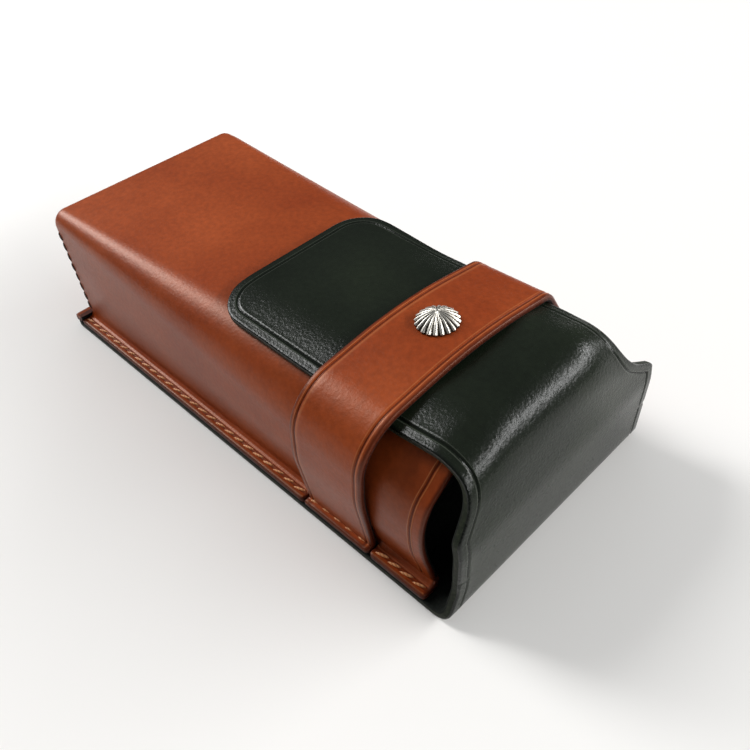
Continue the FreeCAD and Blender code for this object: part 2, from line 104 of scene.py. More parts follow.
def add_camera():
    flat = math.cos(camera_elevation)
    east, south = math.sin(camera_azimuth) * flat, math.cos(camera_azimuth) * flat
    back = Vector((east, -south, math.sin(camera_elevation)))
    across = Vector((0, 0, 1)).cross(back).normalized()
    upward = back.cross(across)
    cos_roll, sin_roll = math.cos(camera_roll), math.sin(camera_roll)
    rolled_across = cos_roll * across + sin_roll * upward
    rolled_upward = cos_roll * upward - sin_roll * across
    turn = Matrix((rolled_across, rolled_upward, back)).transposed()
    data = bpy.data.cameras.new("camera")
    data.lens = camera_lens
    data.sensor_width = 36.0
    data.clip_start = 0.01
    camera = bpy.data.objects.new("camera", data)
    camera.matrix_world = Matrix.Translation(camera_place) @ turn.to_4x4()
    bpy.context.scene.collection.objects.link(camera)
    bpy.context.scene.camera = camera


add_camera()
print("camera at", [round(c, 3) for c in camera_place])

# %% [markdown]
# ## Helpers
# A hex colour is written as a screen shows it, while Blender mixes light in linear values, so
# one function turns the first into the second. Another adds a shader node with its settings
# and its links, which keeps each material short enough to read.

# %% Colour and node helpers
def hue(code):
    """Linear colour of an sRGB hex code."""
    channels = [int(code[i : i + 2], 16) / 255 for i in (1, 3, 5)]
    linear = [c / 12.92 if c <= 0.04045 else ((c + 0.055) / 1.055) ** 2.4 for c in channels]
    return (*linear, 1.0)


def add_node(tree, kind, values=None, links=None, **settings):
    """Adds a node, sets its properties and input values, and links other nodes' outputs to it."""
    node = tree.nodes.new(kind)
    for name, value in settings.items():
        setattr(node, name, value)
    for name, value in (values or {}).items():
        node.inputs[name].default_value = value
    for name, source in (links or {}).items():
        tree.links.new(source, node.inputs[name])
    return node


def ramp_stops(node, *stops):
    """Sets a Color Ramp's stops as (position, colour)."""
    elements = node.color_ramp.elements
    while len(elements) < len(stops):
        elements.new(1.0)
    for element, (position, colour) in zip(elements, stops):
        element.position = position
        element.color = colour


def new_material(name):
    material = bpy.data.materials.new(name)
    material.use_nodes = True
    tree = material.node_tree
    tree.nodes.clear()
    return material, tree


print("helpers ready")

# %% [markdown]
# ## Bending leather
# A bent sheet of leather is a flat shape and a route. The route is made of straight runs and
# tangent arcs, and a point of the flat shape goes as far along it as it lay from the sheet's
# start. Nothing stretches, which is what makes a folded sheet look like leather and not like
# moulded plastic.

# %% Routes with tangent arcs
def unit(angle):
    return Vector((math.cos(angle), math.sin(angle)))


def bent_route(points, radii):
    """Straight runs joined by tangent arcs, as (length, start, heading, turn)."""
    points = [Vector(p) for p in points]
    runs = []
    start = points[0]
    for before, corner, after, radius in zip(points, points[1:], points[2:], radii):
        into = math.atan2(*(corner - before).yx)
        out = math.atan2(*(after - corner).yx)
        turn = (out - into + math.pi) % (2 * math.pi) - math.pi
        cut = radius * math.tan(abs(turn) / 2)
        straight = (corner - start).length - cut
        runs.append((straight, start, into, 0.0))
        runs.append((radius * abs(turn), start + straight * unit(into), into, turn))
        start = corner + cut * unit(out)
    runs.append(((points[-1] - start).length, start, out, 0.0))
    return runs


def route_length(runs):
    return sum(length for length, _, _, _ in runs)


def along_route(runs, distance):
    """Place and heading after a distance along a route."""
    for length, start, heading, turn in runs:
        if distance <= length or (length, start, heading, turn) == runs[-1]:
            break
        distance -= length
    if not turn:
        return start + distance * unit(heading), heading
    bend = turn / length
    now = heading + bend * distance
    across = (math.sin(now) - math.sin(heading)) / bend
    upward = (math.cos(heading) - math.cos(now)) / bend
    return start + Vector((across, upward)), now


# %% [markdown]
# A cut edge is not square: the maker rounds it with an edge slicker, which burnishes it dark,
# and presses a crease line a few millimetres inside it with a hot tool. Both follow the
# outline, so the flat shape gets rings of points that run parallel to it, a plain grid
# inside them, and a triangulation that joins the lot. Displacing the rings is then enough
# to model the round and the crease as real shapes.

# %% Flat shapes
def rounded_outline(points, radii, spacing):
    """A closed outline with rounded corners, as evenly spaced points."""
    middle = (Vector(points[-1]) + Vector(points[0])) / 2
    runs = bent_route([middle, *points, middle], radii)
    outline = []
    for length, start, heading, turn in runs:
        if length > 1e-6:
            count = max(1, math.ceil(length / spacing))
            piece = [(length, start, heading, turn)]
            outline += [along_route(piece, length * i / count)[0] for i in range(count)]
    return outline


def gap_to_line(points, line):
    """Distance from each point to the nearest stretch of a line of points."""
    points = np.array([tuple(p) for p in points])
    line = np.array([tuple(p) for p in line])
    nearest = np.full(len(points), 1e9)
    for a, b in zip(line[:-1], line[1:]):
        step = b - a
        share = np.clip(((points - a) @ step) / max(step @ step, 1e-12), 0, 1)
        nearest = np.minimum(nearest, np.linalg.norm(points - a - share[:, None] * step, axis=1))
    return nearest


def rings_inside(outline, insets):
    """Points that run parallel to a closed outline (drawn anticlockwise) at several insets."""
    closed = outline + outline[:1]
    rings = []
    for inset in insets:
        ring = []
        for index, point in enumerate(outline):
            into = (point - outline[index - 1]).normalized()
            out = (outline[(index + 1) % len(outline)] - point).normalized()
            heading = (into + out).normalized()
            ring.append(point + inset * Vector((-heading.y, heading.x)))
        gaps = gap_to_line(ring, closed)
        rings += [p for p, gap in zip(ring, gaps) if gap > inset - 0.05]
    return rings


def flat_shape(outline, insets, spacing, cut_lines=()):
    """Triangulates a flat shape: rings near its edge, a grid inside, and any cut lines."""
    closed = outline + outline[:1]
    low = Vector((min(p.x for p in outline), min(p.y for p in outline)))
    high = Vector((max(p.x for p in outline), max(p.y for p in outline)))
    columns = math.ceil((high.x - low.x) / spacing)
    rows = math.ceil((high.y - low.y) / spacing)
    grid = [
        Vector((low.x + (i + 0.5) * spacing, low.y + (j + 0.5) * spacing))
        for i in range(columns)
        for j in range(rows)
    ]
    inside = rings_inside(outline, insets)
    clear = (insets[-1] if insets else 0) + 0.6 * spacing
    inside += [p for p, gap in zip(grid, gap_to_line(grid, closed)) if gap > clear]
    points = list(outline)
    edges = [(i, (i + 1) % len(outline)) for i in range(len(outline))]
    for line in cut_lines:
        inside = [p for p, gap in zip(inside, gap_to_line(inside, line)) if gap > 0.35]
        ends = [min(range(len(outline)), key=lambda i: (outline[i] - e).length) for e in (line[0], line[-1])]
        chain = [ends[0], *range(len(points), len(points) + len(line) - 2), ends[1]]
        points += line[1:-1]
        edges += list(zip(chain[:-1], chain[1:]))
    points += inside
    flat, _, faces, *_ = delaunay_2d_cdt(points, edges, [], 1, 1e-5)
    flat = [Vector(p) for p in flat]
    tidy = []
    for face in faces:
        a, b, c = (flat[i] for i in face)
        turned = (b - a).cross(c - a)
        if abs(turned) > 1e-7:
            tidy.append(tuple(face) if turned > 0 else tuple(face)[::-1])
    return flat, tidy, gap_to_line(flat, closed)


# %% [markdown]
# The next helper gives a flat shape its thickness. The grain side and the flesh side are two
# copies of the same triangles, moved apart along the sheet's normal, and the strip between
# them is the cut edge. Each vertex also keeps two numbers as attributes: its distance from
# the edge, so that a material can darken the burnished rim, and the depth pressed into it,
# so that a crease can get painted shade in its groove and a painted highlight beside it.

# %% Thickness, rounded edges and pressed lines
edge_round = 0.55


def rounded_off(gap, radius):
    """How far a surface falls away beside a rounded edge."""
    short = np.clip(radius - gap, 0, None)
    return radius - np.sqrt(np.clip(radius**2 - short**2, 0, None))


def pressed_line(gap, place, width, depth):
    """Groove of a hot crease tool, with the lips that it pushes up on both sides."""
    off = (gap - place) / width
    groove = np.exp(-4 * off**2)
    lips = 0.35 * np.exp(-8 * (np.abs(off) - 1.1) ** 2)
    return depth * (groove - lips)


def make_mesh(name, vertices, faces, materials, indices=None, attributes=None):
    """A smooth-shaded mesh object at the origin, its place in its vertices (millimetres in)."""
    mesh = bpy.data.meshes.new(name)
    mesh.from_pydata([tuple(c * MM for c in v) for v in vertices], [], [tuple(f) for f in faces])
    for material in materials:
        mesh.materials.append(material)
    if indices is not None:
        mesh.polygons.foreach_set("material_index", indices)
    for label, values in (attributes or {}).items():
        layer = mesh.attributes.new(label, "FLOAT", "POINT")
        layer.data.foreach_set("value", np.array(values, np.float32))
    mesh.shade_smooth()
    mesh.set_sharp_from_angle(angle=math.radians(50))
    mesh.update()
    piece = bpy.data.objects.new(name, mesh)
    bpy.context.scene.collection.objects.link(piece)
    return piece


def bent_sheet(name, flat, faces, gaps, place, thickness, materials, relief=None, rounding=edge_round):
    """Closed sheet of leather: a flat shape, put in place and given its thickness."""
    used = sorted({i for face in faces for i in face})
    renumber = {old: new for new, old in enumerate(used)}
    flat = [flat[i] for i in used]
    faces = [tuple(renumber[i] for i in face) for face in faces]
    gaps = np.array([gaps[i] for i in used])
    placed = [place(p) for p in flat]
    middle = np.array([tuple(p) for p, _ in placed])
    normal = np.array([tuple(n) for _, n in placed])
    fall = rounded_off(gaps, rounding)
    press = relief(np.array([tuple(p) for p in flat]), gaps) if relief else np.zeros(len(flat))
    grain = middle + normal * (thickness / 2 - fall - press)[:, None]
    flesh = middle - normal * (thickness / 2 - fall)[:, None]
    a, b, c = (middle[i] for i in faces[0][:3])
    if np.cross(b - a, c - a) @ normal[faces[0][0]] < 0:
        faces = [face[::-1] for face in faces]
    count = len(flat)
    sides = {}
    for face in faces:
        for start, end in zip(face, face[1:] + face[:1]):
            if (end, start) in sides:
                del sides[(end, start)]
            else:
                sides[(start, end)] = True
    rim = [(end, start, start + count, end + count) for start, end in sides]
    under = [tuple(i + count for i in face[::-1]) for face in faces]
    indices = [0] * len(faces) + [1] * len(under) + [2] * len(rim)
    marks = {"edge_mm": np.concatenate([gaps, gaps]), "pressed_mm": np.concatenate([press, press])}
    return make_mesh(name, [*grain, *flesh], [*faces, *under, *rim], materials, indices, marks)


print("leather helpers ready")

# %% [markdown]
# ## Finishes
# Vegetable-tanned hide is a warm, slightly cloudy colour under a thin glaze. Its grain is drawn
# about three quarters of a millimetre wide, a little coarser than the real pores, so that it
# shows, and it breaks every highlight into specks. Near a cut edge the colour deepens, where
# the slicker has rubbed it. A crease line gets painted shade, darker in its groove, and a painted
# highlight, lighter on its lips. One function makes such a hide, because brown and green differ
# only in colour and gloss.

# %% Hide, seen from its grain side
pore_mm = 0.75


def scale_of(size_mm):
    """Texture scale that repeats about once in a real size, on coordinates in metres."""
    return 1 / (size_mm * MM)


def grain_leather(name, colours, rim, lip_highlight, roughness, specular, glaze, pore_depth):
    """Glazed hide: a deep, a main and a light tone, its burnished rim, and a crease's painted shade and
    highlight.
    """
    material, tree = new_material(name)
    deep, main, light = (hue(code) for code in colours)
    place = add_node(tree, "ShaderNodeTexCoord").outputs["Object"]
    cloud, fleck, wobble = (
        add_node(tree, "ShaderNodeTexNoise", {"Scale": scale_of(size), "Detail": detail}, {"Vector": place})
        for size, detail in ((38, 4.0), (1.6, 3.0), (5, 2.0))
    )
    tone = add_node(tree, "ShaderNodeValToRGB", links={"Fac": cloud.outputs["Fac"]})
    ramp_stops(tone, (0.28, deep), (0.5, main), (0.74, light))
    shade = add_node(
        tree, "ShaderNodeMapRange", {"From Min": 0.3, "From Max": 0.7, "To Min": 0.86, "To Max": 1.1},
        {"Value": fleck.outputs["Fac"]},
    )
    speckled = add_node(
        tree, "ShaderNodeVectorMath", links={0: tone.outputs["Color"], "Scale": shade.outputs["Result"]},
        operation="SCALE",
    )
    edge = add_node(tree, "ShaderNodeAttribute", attribute_name="edge_mm")
    reach = add_node(
        tree, "ShaderNodeMath", links={0: edge.outputs["Fac"], 1: wobble.outputs["Fac"]}, operation="SUBTRACT"
    )
    rubbed = add_node(
        tree, "ShaderNodeMapRange", {"From Min": -0.2, "From Max": 0.9, "To Min": 1.0, "To Max": 0.0},
        {"Value": reach.outputs["Value"]}, interpolation_type="SMOOTHSTEP",
    )
    colour = add_node(
        tree, "ShaderNodeMix", {7: hue(rim)}, {0: rubbed.outputs["Result"], 6: speckled.outputs["Vector"]},
        data_type="RGBA",
    )
    pressed = add_node(tree, "ShaderNodeAttribute", attribute_name="pressed_mm")
    # Painted shade darkens a crease's groove towards the rim colour, and a painted highlight lightens its
    # lips.
    groove, lips = (rim, 0.05, 0.17, 0.8), (lip_highlight, -0.04, -0.08, 0.5)
    for tint, start, end, most in (groove, lips):
        amount = add_node(
            tree, "ShaderNodeMapRange", {"From Min": start, "From Max": end, "To Min": 0.0, "To Max": most},
            {"Value": pressed.outputs["Fac"]},
        )
        colour = add_node(
            tree, "ShaderNodeMix", {7: hue(tint)}, {0: amount.outputs["Result"], 6: colour.outputs[2]},
            data_type="RGBA",
        )
    pores = add_node(
        tree, "ShaderNodeTexVoronoi", {"Scale": scale_of(pore_mm * 1.3), "Randomness": 1.0},
        {"Vector": place},
    )
    folds = add_node(
        tree, "ShaderNodeTexNoise", {"Scale": scale_of(pore_mm), "Detail": 3.0, "Roughness": 0.6},
        {"Vector": place},
    )
    height = folds.outputs["Fac"]
    relief = add_node(
        tree, "ShaderNodeMath", links={0: pores.outputs["Distance"], 1: height, 2: height},
        operation="MULTIPLY_ADD",
    )
    bump = add_node(
        tree, "ShaderNodeBump", {"Strength": 1.0, "Distance": pore_depth * MM},
        {"Height": relief.outputs["Value"]},
    )
    gloss = add_node(
        tree, "ShaderNodeMapRange", {"To Min": roughness - 0.07, "To Max": roughness + 0.1},
        {"Value": folds.outputs["Fac"]},
    )
    shader = add_node(
        tree, "ShaderNodeBsdfPrincipled",
        {"Specular IOR Level": specular, "Specular Tint": hue(glaze)},
        {
            "Base Color": colour.outputs[2], "Roughness": gloss.outputs["Result"],
            "Normal": bump.outputs["Normal"],
        },
    )
    add_node(tree, "ShaderNodeOutputMaterial", links={"Surface": shader.outputs["BSDF"]})
    return material


# Saddle hide: rust brown, deepening to chestnut at its rims; the warm glaze gives a broad sheen.
# Its crease lips get a light tan painted highlight.
saddle_grain = grain_leather(
    "saddle_hide_glazed", ("#843412", "#913E18", "#9F4820"), rim="#56200C", lip_highlight="#C9824F",
    roughness=0.37, specular=0.4, glaze="#FFCDB2", pore_depth=0.035,
)
# Bottle-green hide, close to black; its waxed finish is glossier and shows the grain more.
# Its crease lips get a pale grey-green painted highlight.
green_grain = grain_leather(
    "green_hide_waxed", ("#11170F", "#181E15", "#20271B"), rim="#0C110B", lip_highlight="#8B9184",
    roughness=0.24, specular=0.26, glaze="#FFFFFF", pore_depth=0.055,
)


# %% [markdown]
# The flesh side and the cut edges are other surfaces of the same hide. The inside of this
# case is drawn near black and matt. A cut edge shows packed fibres in layers, which the slicker
# has polished. Waxed linen thread is two plies laid together, with a soft gloss. All of them
# are coloured fibres, so one function draws them: a texture in the fibres' real size sets
# both the tone and the bump, and only its kind and scale differ.

# %% Flesh side, cut edges and thread
def fibre_finish(name, texture, values, stops, bump_strength, bump_mm, shine, **settings):
    """Dyed fibres: the texture gives the tone, between the stops, and the bump."""
    material, tree = new_material(name)
    place = add_node(tree, "ShaderNodeTexCoord").outputs["Object"]
    fibres = add_node(tree, texture, values, {"Vector": place}, **settings).outputs["Fac"]
    tone = add_node(tree, "ShaderNodeValToRGB", links={"Fac": fibres})
    ramp_stops(tone, *((position, hue(code)) for position, code in stops))
    bump = add_node(
        tree, "ShaderNodeBump", {"Strength": bump_strength, "Distance": bump_mm * MM}, {"Height": fibres}
    )
    shader = add_node(
        tree, "ShaderNodeBsdfPrincipled", shine,
        {"Base Color": tone.outputs["Color"], "Normal": bump.outputs["Normal"]},
    )
    add_node(tree, "ShaderNodeOutputMaterial", links={"Surface": shader.outputs["BSDF"]})
    return material


def flesh_side(name, dark, light):
    nap = {"Scale": scale_of(0.8), "Detail": 5.0}
    matt = {"Roughness": 0.92, "Specular IOR Level": 0.25}
    return fibre_finish(name, "ShaderNodeTexNoise", nap, ((0.3, dark), (0.7, light)), 0.8, 0.12, matt)


def cut_edge(name, dark, main, light, roughness):
    layers = {"Scale": scale_of(0.9), "Detail": 5.0, "Roughness": 0.7}
    stops = ((0.3, dark), (0.55, main), (0.75, light))
    polish = {"Roughness": roughness, "Specular IOR Level": 0.12}
    return fibre_finish(name, "ShaderNodeTexNoise", layers, stops, 0.7, 0.1, polish)


def waxed_thread(name, dark, light):
    plies = {"Scale": scale_of(2.2), "Distortion": 1.5, "Detail": 2.0}
    stops = ((0.1, dark), (0.8, light))
    wax = {"Roughness": 0.42, "Sheen Weight": 0.15}
    return fibre_finish(
        name, "ShaderNodeTexWave", plies, stops, 0.6, 0.08, wax, bands_direction="DIAGONAL"
    )


# The inside of the case and the divider are drawn near black and matt.
black_flesh = flesh_side("flesh_side_near_black", "#050505", "#141312")
green_flesh = flesh_side("flesh_side_dark_green", "#0A0D0A", "#181D18")
brown_edge = cut_edge("burnished_brown_edge", "#2E1109", "#4C1F10", "#682F1A", roughness=0.5)
green_edge = cut_edge("burnished_green_edge", "#141811", "#262B20", "#3A3F2E", roughness=0.55)
orange_thread = waxed_thread("waxed_linen_orange", "#C27A48", "#E5A56C")
brown_thread = waxed_thread("waxed_linen_dark_brown", "#24100A", "#4A251A")
saddle = [saddle_grain, black_flesh, brown_edge]
green = [green_grain, green_flesh, green_edge]


# %% [markdown]
# The silver of the concho is a metal, so its colour is its reflection. Between the rays it
# holds a dark patina, which the `valley` attribute marks.

# %% Silver
def patinated_silver(name):
    material, tree = new_material(name)
    place = add_node(tree, "ShaderNodeTexCoord").outputs["Object"]
    valley = add_node(tree, "ShaderNodeAttribute", attribute_name="valley")
    cloud = add_node(tree, "ShaderNodeTexNoise", {"Scale": scale_of(1.5), "Detail": 3.0}, {"Vector": place})
    amount = add_node(
        tree, "ShaderNodeMath", links={0: valley.outputs["Fac"], 1: cloud.outputs["Fac"]}, operation="ADD"
    )
    tone = add_node(tree, "ShaderNodeValToRGB", links={"Fac": amount.outputs["Value"]})
    ramp_stops(tone, (0.95, hue("#DCD8CF")), (1.35, hue("#5A554D")))
    rough = add_node(
        tree, "ShaderNodeMapRange", {"From Min": 0.5, "From Max": 1.4, "To Min": 0.38, "To Max": 0.55},
        {"Value": amount.outputs["Value"]},
    )
    shader = add_node(
        tree, "ShaderNodeBsdfPrincipled", {"Metallic": 1.0},
        {"Base Color": tone.outputs["Color"], "Roughness": rough.outputs["Result"]},
    )
    add_node(tree, "ShaderNodeOutputMaterial", links={"Surface": shader.outputs["BSDF"]})
    return material


silver = patinated_silver("silver_patinated")
print("materials:", len(bpy.data.materials))

# %% [markdown]
# ## Table and light
# The floor is a pale sheet that takes the case's soft shadow. It throws back a little less
# light than it shows, which keeps the walls deep in tone, and its rim fades into the white of
# the room. One soft box stands beyond the closed end and puts the long highlight on the near
# edge; a long low one beyond the mouth draws the highlight on the flap's fold. The world is a
# sky that is brighter behind the case, and it looks white to the camera.

# %% Table, soft boxes and world
floor_colour = "#F1EFEC"
floor_bounce_colour = "#BDBBB8"
floor_pool = (0.55, 1.05)  # metres from the case: the floor is whole up to one, gone past the other
fill_colour = "#E9ECEF"
brighter_side = (-0.45, 0.55, 0.7)


def add_floor():
    size = 6.0
    mesh = bpy.data.meshes.new("floor")
    ends = [(-size, -size, 0), (size, -size, 0), (size, size, 0), (-size, size, 0)]
    mesh.from_pydata(ends, [], [(0, 1, 2, 3)])
    floor = bpy.data.objects.new("floor", mesh)
    bpy.context.scene.collection.objects.link(floor)
    material, tree = new_material("matt_pale_table")
    place = add_node(tree, "ShaderNodeTexCoord").outputs["Object"]
    pool = add_node(tree, "ShaderNodeMapping", {"Location": (0.1, -0.1, 0)}, {"Vector": place})
    reach = add_node(tree, "ShaderNodeVectorMath", links={0: pool.outputs["Vector"]}, operation="LENGTH")
    fade = add_node(
        tree, "ShaderNodeMapRange", {"From Min": floor_pool[0], "From Max": floor_pool[1]},
        {"Value": reach.outputs["Value"]}, interpolation_type="SMOOTHSTEP",
    )
    ray = add_node(tree, "ShaderNodeLightPath")
    seen = ray.outputs["Is Camera Ray"]
    for kind in ("Is Glossy Ray", "Is Transmission Ray"):
        seen = add_node(
            tree, "ShaderNodeMath", links={0: seen, 1: ray.outputs[kind]}, operation="MAXIMUM"
        ).outputs[0]
    shown = add_node(
        tree, "ShaderNodeMix", {6: hue(floor_bounce_colour), 7: hue(floor_colour)}, {0: seen},
        data_type="RGBA",
    )
    shader = add_node(
        tree, "ShaderNodeBsdfPrincipled", {"Roughness": 0.85, "Specular IOR Level": 0.2},
        {"Base Color": shown.outputs[2]},
    )
    clear = add_node(tree, "ShaderNodeBsdfTransparent")
    faded = add_node(
        tree, "ShaderNodeMixShader",
        links={0: fade.outputs["Result"], 1: shader.outputs[0], 2: clear.outputs[0]},
    )
    add_node(tree, "ShaderNodeOutputMaterial", links={"Surface": faded.outputs[0]})
    mesh.materials.append(material)


def add_soft_box(name, towards, distance, size, power):
    """Rectangular soft light in a direction from the case, turned to face it."""
    data = bpy.data.lights.new(name, "AREA")
    data.shape = "RECTANGLE"
    data.size, data.size_y = size
    data.energy = power
    lamp = bpy.data.objects.new(name, data)
    lamp.location = Vector(towards).normalized() * distance
    lamp.rotation_euler = Vector(towards).to_track_quat("Z", "Y").to_euler()
    bpy.context.scene.collection.objects.link(lamp)


def add_world():
    world = bpy.data.worlds.new("studio")
    world.use_nodes = True
    bpy.context.scene.world = world
    tree = world.node_tree
    tree.nodes.clear()
    ray = add_node(tree, "ShaderNodeLightPath")
    seen = add_node(
        tree, "ShaderNodeMath",
        links={0: ray.outputs["Is Camera Ray"], 1: ray.outputs["Is Transmission Ray"]}, operation="MAXIMUM",
    )
    direction = add_node(tree, "ShaderNodeTexCoord").outputs["Generated"]
    height = add_node(tree, "ShaderNodeSeparateXYZ", links={"Vector": direction}).outputs["Z"]
    room = add_node(tree, "ShaderNodeValToRGB", links={"Fac": height})
    ramp_stops(room, (0.0, hue("#6E7072")), (0.35, hue("#9DA0A2")), (1.0, hue("#D8DADC")))
    mirrored = add_node(tree, "ShaderNodeBackground", {"Strength": 0.3}, {"Color": room.outputs["Color"]})
    lift = add_node(
        tree, "ShaderNodeVectorMath", {1: brighter_side}, {0: direction}, operation="DOT_PRODUCT"
    )
    sky = add_node(
        tree, "ShaderNodeMapRange", {"From Min": -0.5, "From Max": 0.8, "To Min": 0.08, "To Max": 0.46},
        {"Value": lift.outputs["Value"]},
    )
    fill = add_node(
        tree, "ShaderNodeBackground", {"Color": hue(fill_colour)}, {"Strength": sky.outputs["Result"]}
    )
    white = add_node(tree, "ShaderNodeBackground", {"Color": hue("#F6F5F3"), "Strength": 1.0})
    lit = add_node(
        tree, "ShaderNodeMixShader",
        links={0: ray.outputs["Is Glossy Ray"], 1: fill.outputs[0], 2: mirrored.outputs[0]},
    )
    mixed = add_node(
        tree, "ShaderNodeMixShader", links={0: seen.outputs[0], 1: lit.outputs[0], 2: white.outputs[0]}
    )
    add_node(tree, "ShaderNodeOutputWorld", links={"Surface": mixed.outputs[0]})


add_floor()
add_world()
add_soft_box(
    "soft_box_far", towards=(-0.75, -0.17, 0.64), distance=1.6, size=(0.5, 0.9), power=20.0
)
add_soft_box(
    "soft_box_mouth", towards=(0.7, 0.5, 0.43), distance=2.2, size=(3.4, 0.22), power=58.0
)
bpy.context.scene.view_settings.view_transform = "Standard"
print("stage ready")

# %% [markdown]
# ## The brown shell
# The shell is one hide folded into a trough: two side walls, a top with rounded long edges,
# and an end wall. The end wall holds its edges sharp. Towards the mouth nothing does, so
# there the edges relax into a wide bend, and the top slides to the front and sinks a little.
# It follows a rule, so it is worked out as a grid of cross-sections, once for the grain side
# and once, a hide's thickness further in, for the flesh side. The mouth's edge is rounded
# and has a crease line pressed beside it.

# %% Shell sizes
far_edge_radius = 5.0
front_mouth_radius = 20.0
back_mouth_radius = 24.0
mouth_lean = 4.0
mouth_drop = 1.5
end_land = 6.0
end_fold_radius = 2.5
mouth_dip = 2.5
mouth_dip_height = 20.0
wall_bulge = 0.6
wall_foot = 6.1            # where the wall leaves the sewn flange
foot_inset = 0.3           # the wall's foot stands behind the flange
mouth_crease = 3.8
edge_rounding = 0.8
corner_seam_depth = 0.35
corner_seam_spread = 0.22
body_rows = 60
end_fold_rows = 6
crease_width = 0.55
crease_depth = 0.28
fourteenths = [i / 14 for i in range(14)]
shell_runs = ((0, (0.0, 0.93, 1.0)), (2, (0.02, *fourteenths[1:])), (3, fourteenths))
belly_height, belly_width = 20, 8           # the wall stands out here at the mouth
waist_height, waist_width = 38.5, 3.2       # and draws in here
waist_share = 0.9
wall_foot_radius = 2.0
tightest_bend = 0.5


def climb(value, start, end):
    """Zero before the start, one past the end, and a smooth climb between them."""
    share = min(max((value - start) / (end - start), 0.0), 1.0)
    return share * share * (3 - 2 * share)


def hump(value, middle, width):
    return math.exp(-(((value - middle) / width) ** 2))


def bands(*stops):
    """Stations from zero through bands, each given as its end and its spacing."""
    stations = [0.0]
    for end, spacing in stops:
        start = stations[-1]
        count = max(1, round((end - start) / spacing))
        stations += [start + (end - start) * (i + 1) / count for i in range(count)]
    return stations


def loosened(x):
    """How far the shell has relaxed: nothing beside the end wall, one at the mouth."""
    return min(max((x - far_x - end_land) / (mouth_x - far_x - end_land), 0.0), 1.0)


def mouth_edge(z):
    """Where the wall ends at a height: a shallow hollow, as the cut edge curls in."""
    rise = max(case_top - mouth_dip_height, mouth_dip_height)
    radius = (rise**2 + mouth_dip**2) / (2 * mouth_dip)
    return mouth_x - mouth_dip + radius - math.sqrt(radius**2 - (z - mouth_dip_height) ** 2)


# %% Shell cross-section
def shell_stations():
    """Places across the shell as (run of its route, share), from the front foot to the back's."""
    front = [(run, share) for run, shares in shell_runs for share in shares]
    back = [(8 - run, 1 - share) for run, share in reversed(front)]
    return front + [(4, i / 28) for i in range(29)] + back


def shell_route(x, inset):
    """Cross-section (y, z) from the front wall's foot over the top to the back wall's."""
    loose = loosened(x)
    half = half_width - inset
    top = case_top - inset - loose * mouth_drop
    lean = loose * mouth_lean * (top - wall_foot) / (case_top - mouth_drop - wall_foot)
    start = sole_top + 0.1
    points = [
        (-half, start), (-half, wall_foot), (-half - lean, top),
        (half - lean, top), (half, wall_foot), (half, start),
    ]
    front, back = (
        max(far_edge_radius + loose * (radius - far_edge_radius) - inset, tightest_bend)
        for radius in (front_mouth_radius, back_mouth_radius)
    )
    return bent_route(points, [wall_foot_radius, front, back, wall_foot_radius])


def swelling(run, share, x, z):
    """How far the hide stands out: between its folds everywhere, and most at the mouth."""
    free = climb(x - far_x, 0, 25) * climb(mouth_x - x, -3.6, 8.4)
    bulge = wall_bulge * free * math.sin(math.pi * share) ** 2 if run in (2, 6) else 0.0
    if run in (2, 3):
        waist = waist_share * hump(z, waist_height, waist_width)
        bulge += loosened(x) ** 3 * (hump(z, belly_height, belly_width) - waist)
    return bulge


# %% Shell surfaces
def shell_surface(stations, inset):
    """Rows of points from the end wall to the mouth, and the points' distance from its edge."""
    end_steps = [math.pi / 2 * i / end_fold_rows for i in range(end_fold_rows + 1)]
    beside_crease = (mouth_crease - 1.2, 0.65), (mouth_crease + 1.2, 0.15)
    from_mouth = bands((0.6, 0.1), *beside_crease, (14.0, 1.5))[::-1]
    body_start = far_x + end_fold_radius
    body_end = mouth_x - from_mouth[0]
    body = [body_start + (body_end - body_start) * i / body_rows for i in range(1, body_rows)]
    fold = max(end_fold_radius - inset, 0.3)
    rows = []
    for angle in end_steps:
        x = far_x + inset + fold * (1 - math.cos(angle))
        shrink = fold * (1 - math.sin(angle))
        seam = corner_seam_depth * math.exp(-(((angle - math.pi / 4) / corner_seam_spread) ** 2))
        rows.append((x, None, shrink, seam if inset == 0 else 0.0))
    rows += [(x, None, 0.0, 0.0) for x in body]
    rows += [(None, gap, 0.0, 0.0) for gap in from_mouth]
    points, gaps = [], []
    for x, gap, shrink, seam in rows:
        station_x = mouth_x - gap if x is None else x
        route = shell_route(station_x, inset + shrink)
        to_edge = (mouth_x - station_x) if gap is None else gap
        fall = float(rounded_off(np.array(to_edge), edge_rounding))
        press = 0.0 if inset else float(pressed_line(to_edge, mouth_crease, crease_width, crease_depth))
        ahead = (station_x - far_x) / (mouth_x - far_x)
        for run, share in stations:
            place, heading = along_route([route[run]], route[run][0] * share)
            out = swelling(run, share, station_x, place.y) - press + (fall if inset else -fall)
            out -= seam if run in (2, 6) else 0.0
            behind_flange = (run == 0 and share < 0.95) or (run == 8 and share > 0.05)
            out -= foot_inset if behind_flange and not inset else 0.0
            edge = mouth_edge(place.y)
            place = place + out * unit(heading + math.pi / 2)
            points.append(Vector((station_x - ahead * (mouth_x - edge), place.x, place.y)))
            gaps.append(to_edge)
    return points, gaps, len(rows)


def end_wall(outline, spacing):
    """Triangulation of the end wall inside its outline, with new points after the outline's."""
    outline = [Vector((p.y, p.z)) for p in outline]
    flat, faces, _ = flat_shape(outline[::-1], [], spacing)
    count = len(outline)
    order = [count - 1 - i if i < count else i for i in range(len(flat))]
    return flat[count:], [tuple(order[i] for i in face[::-1]) for face in faces]


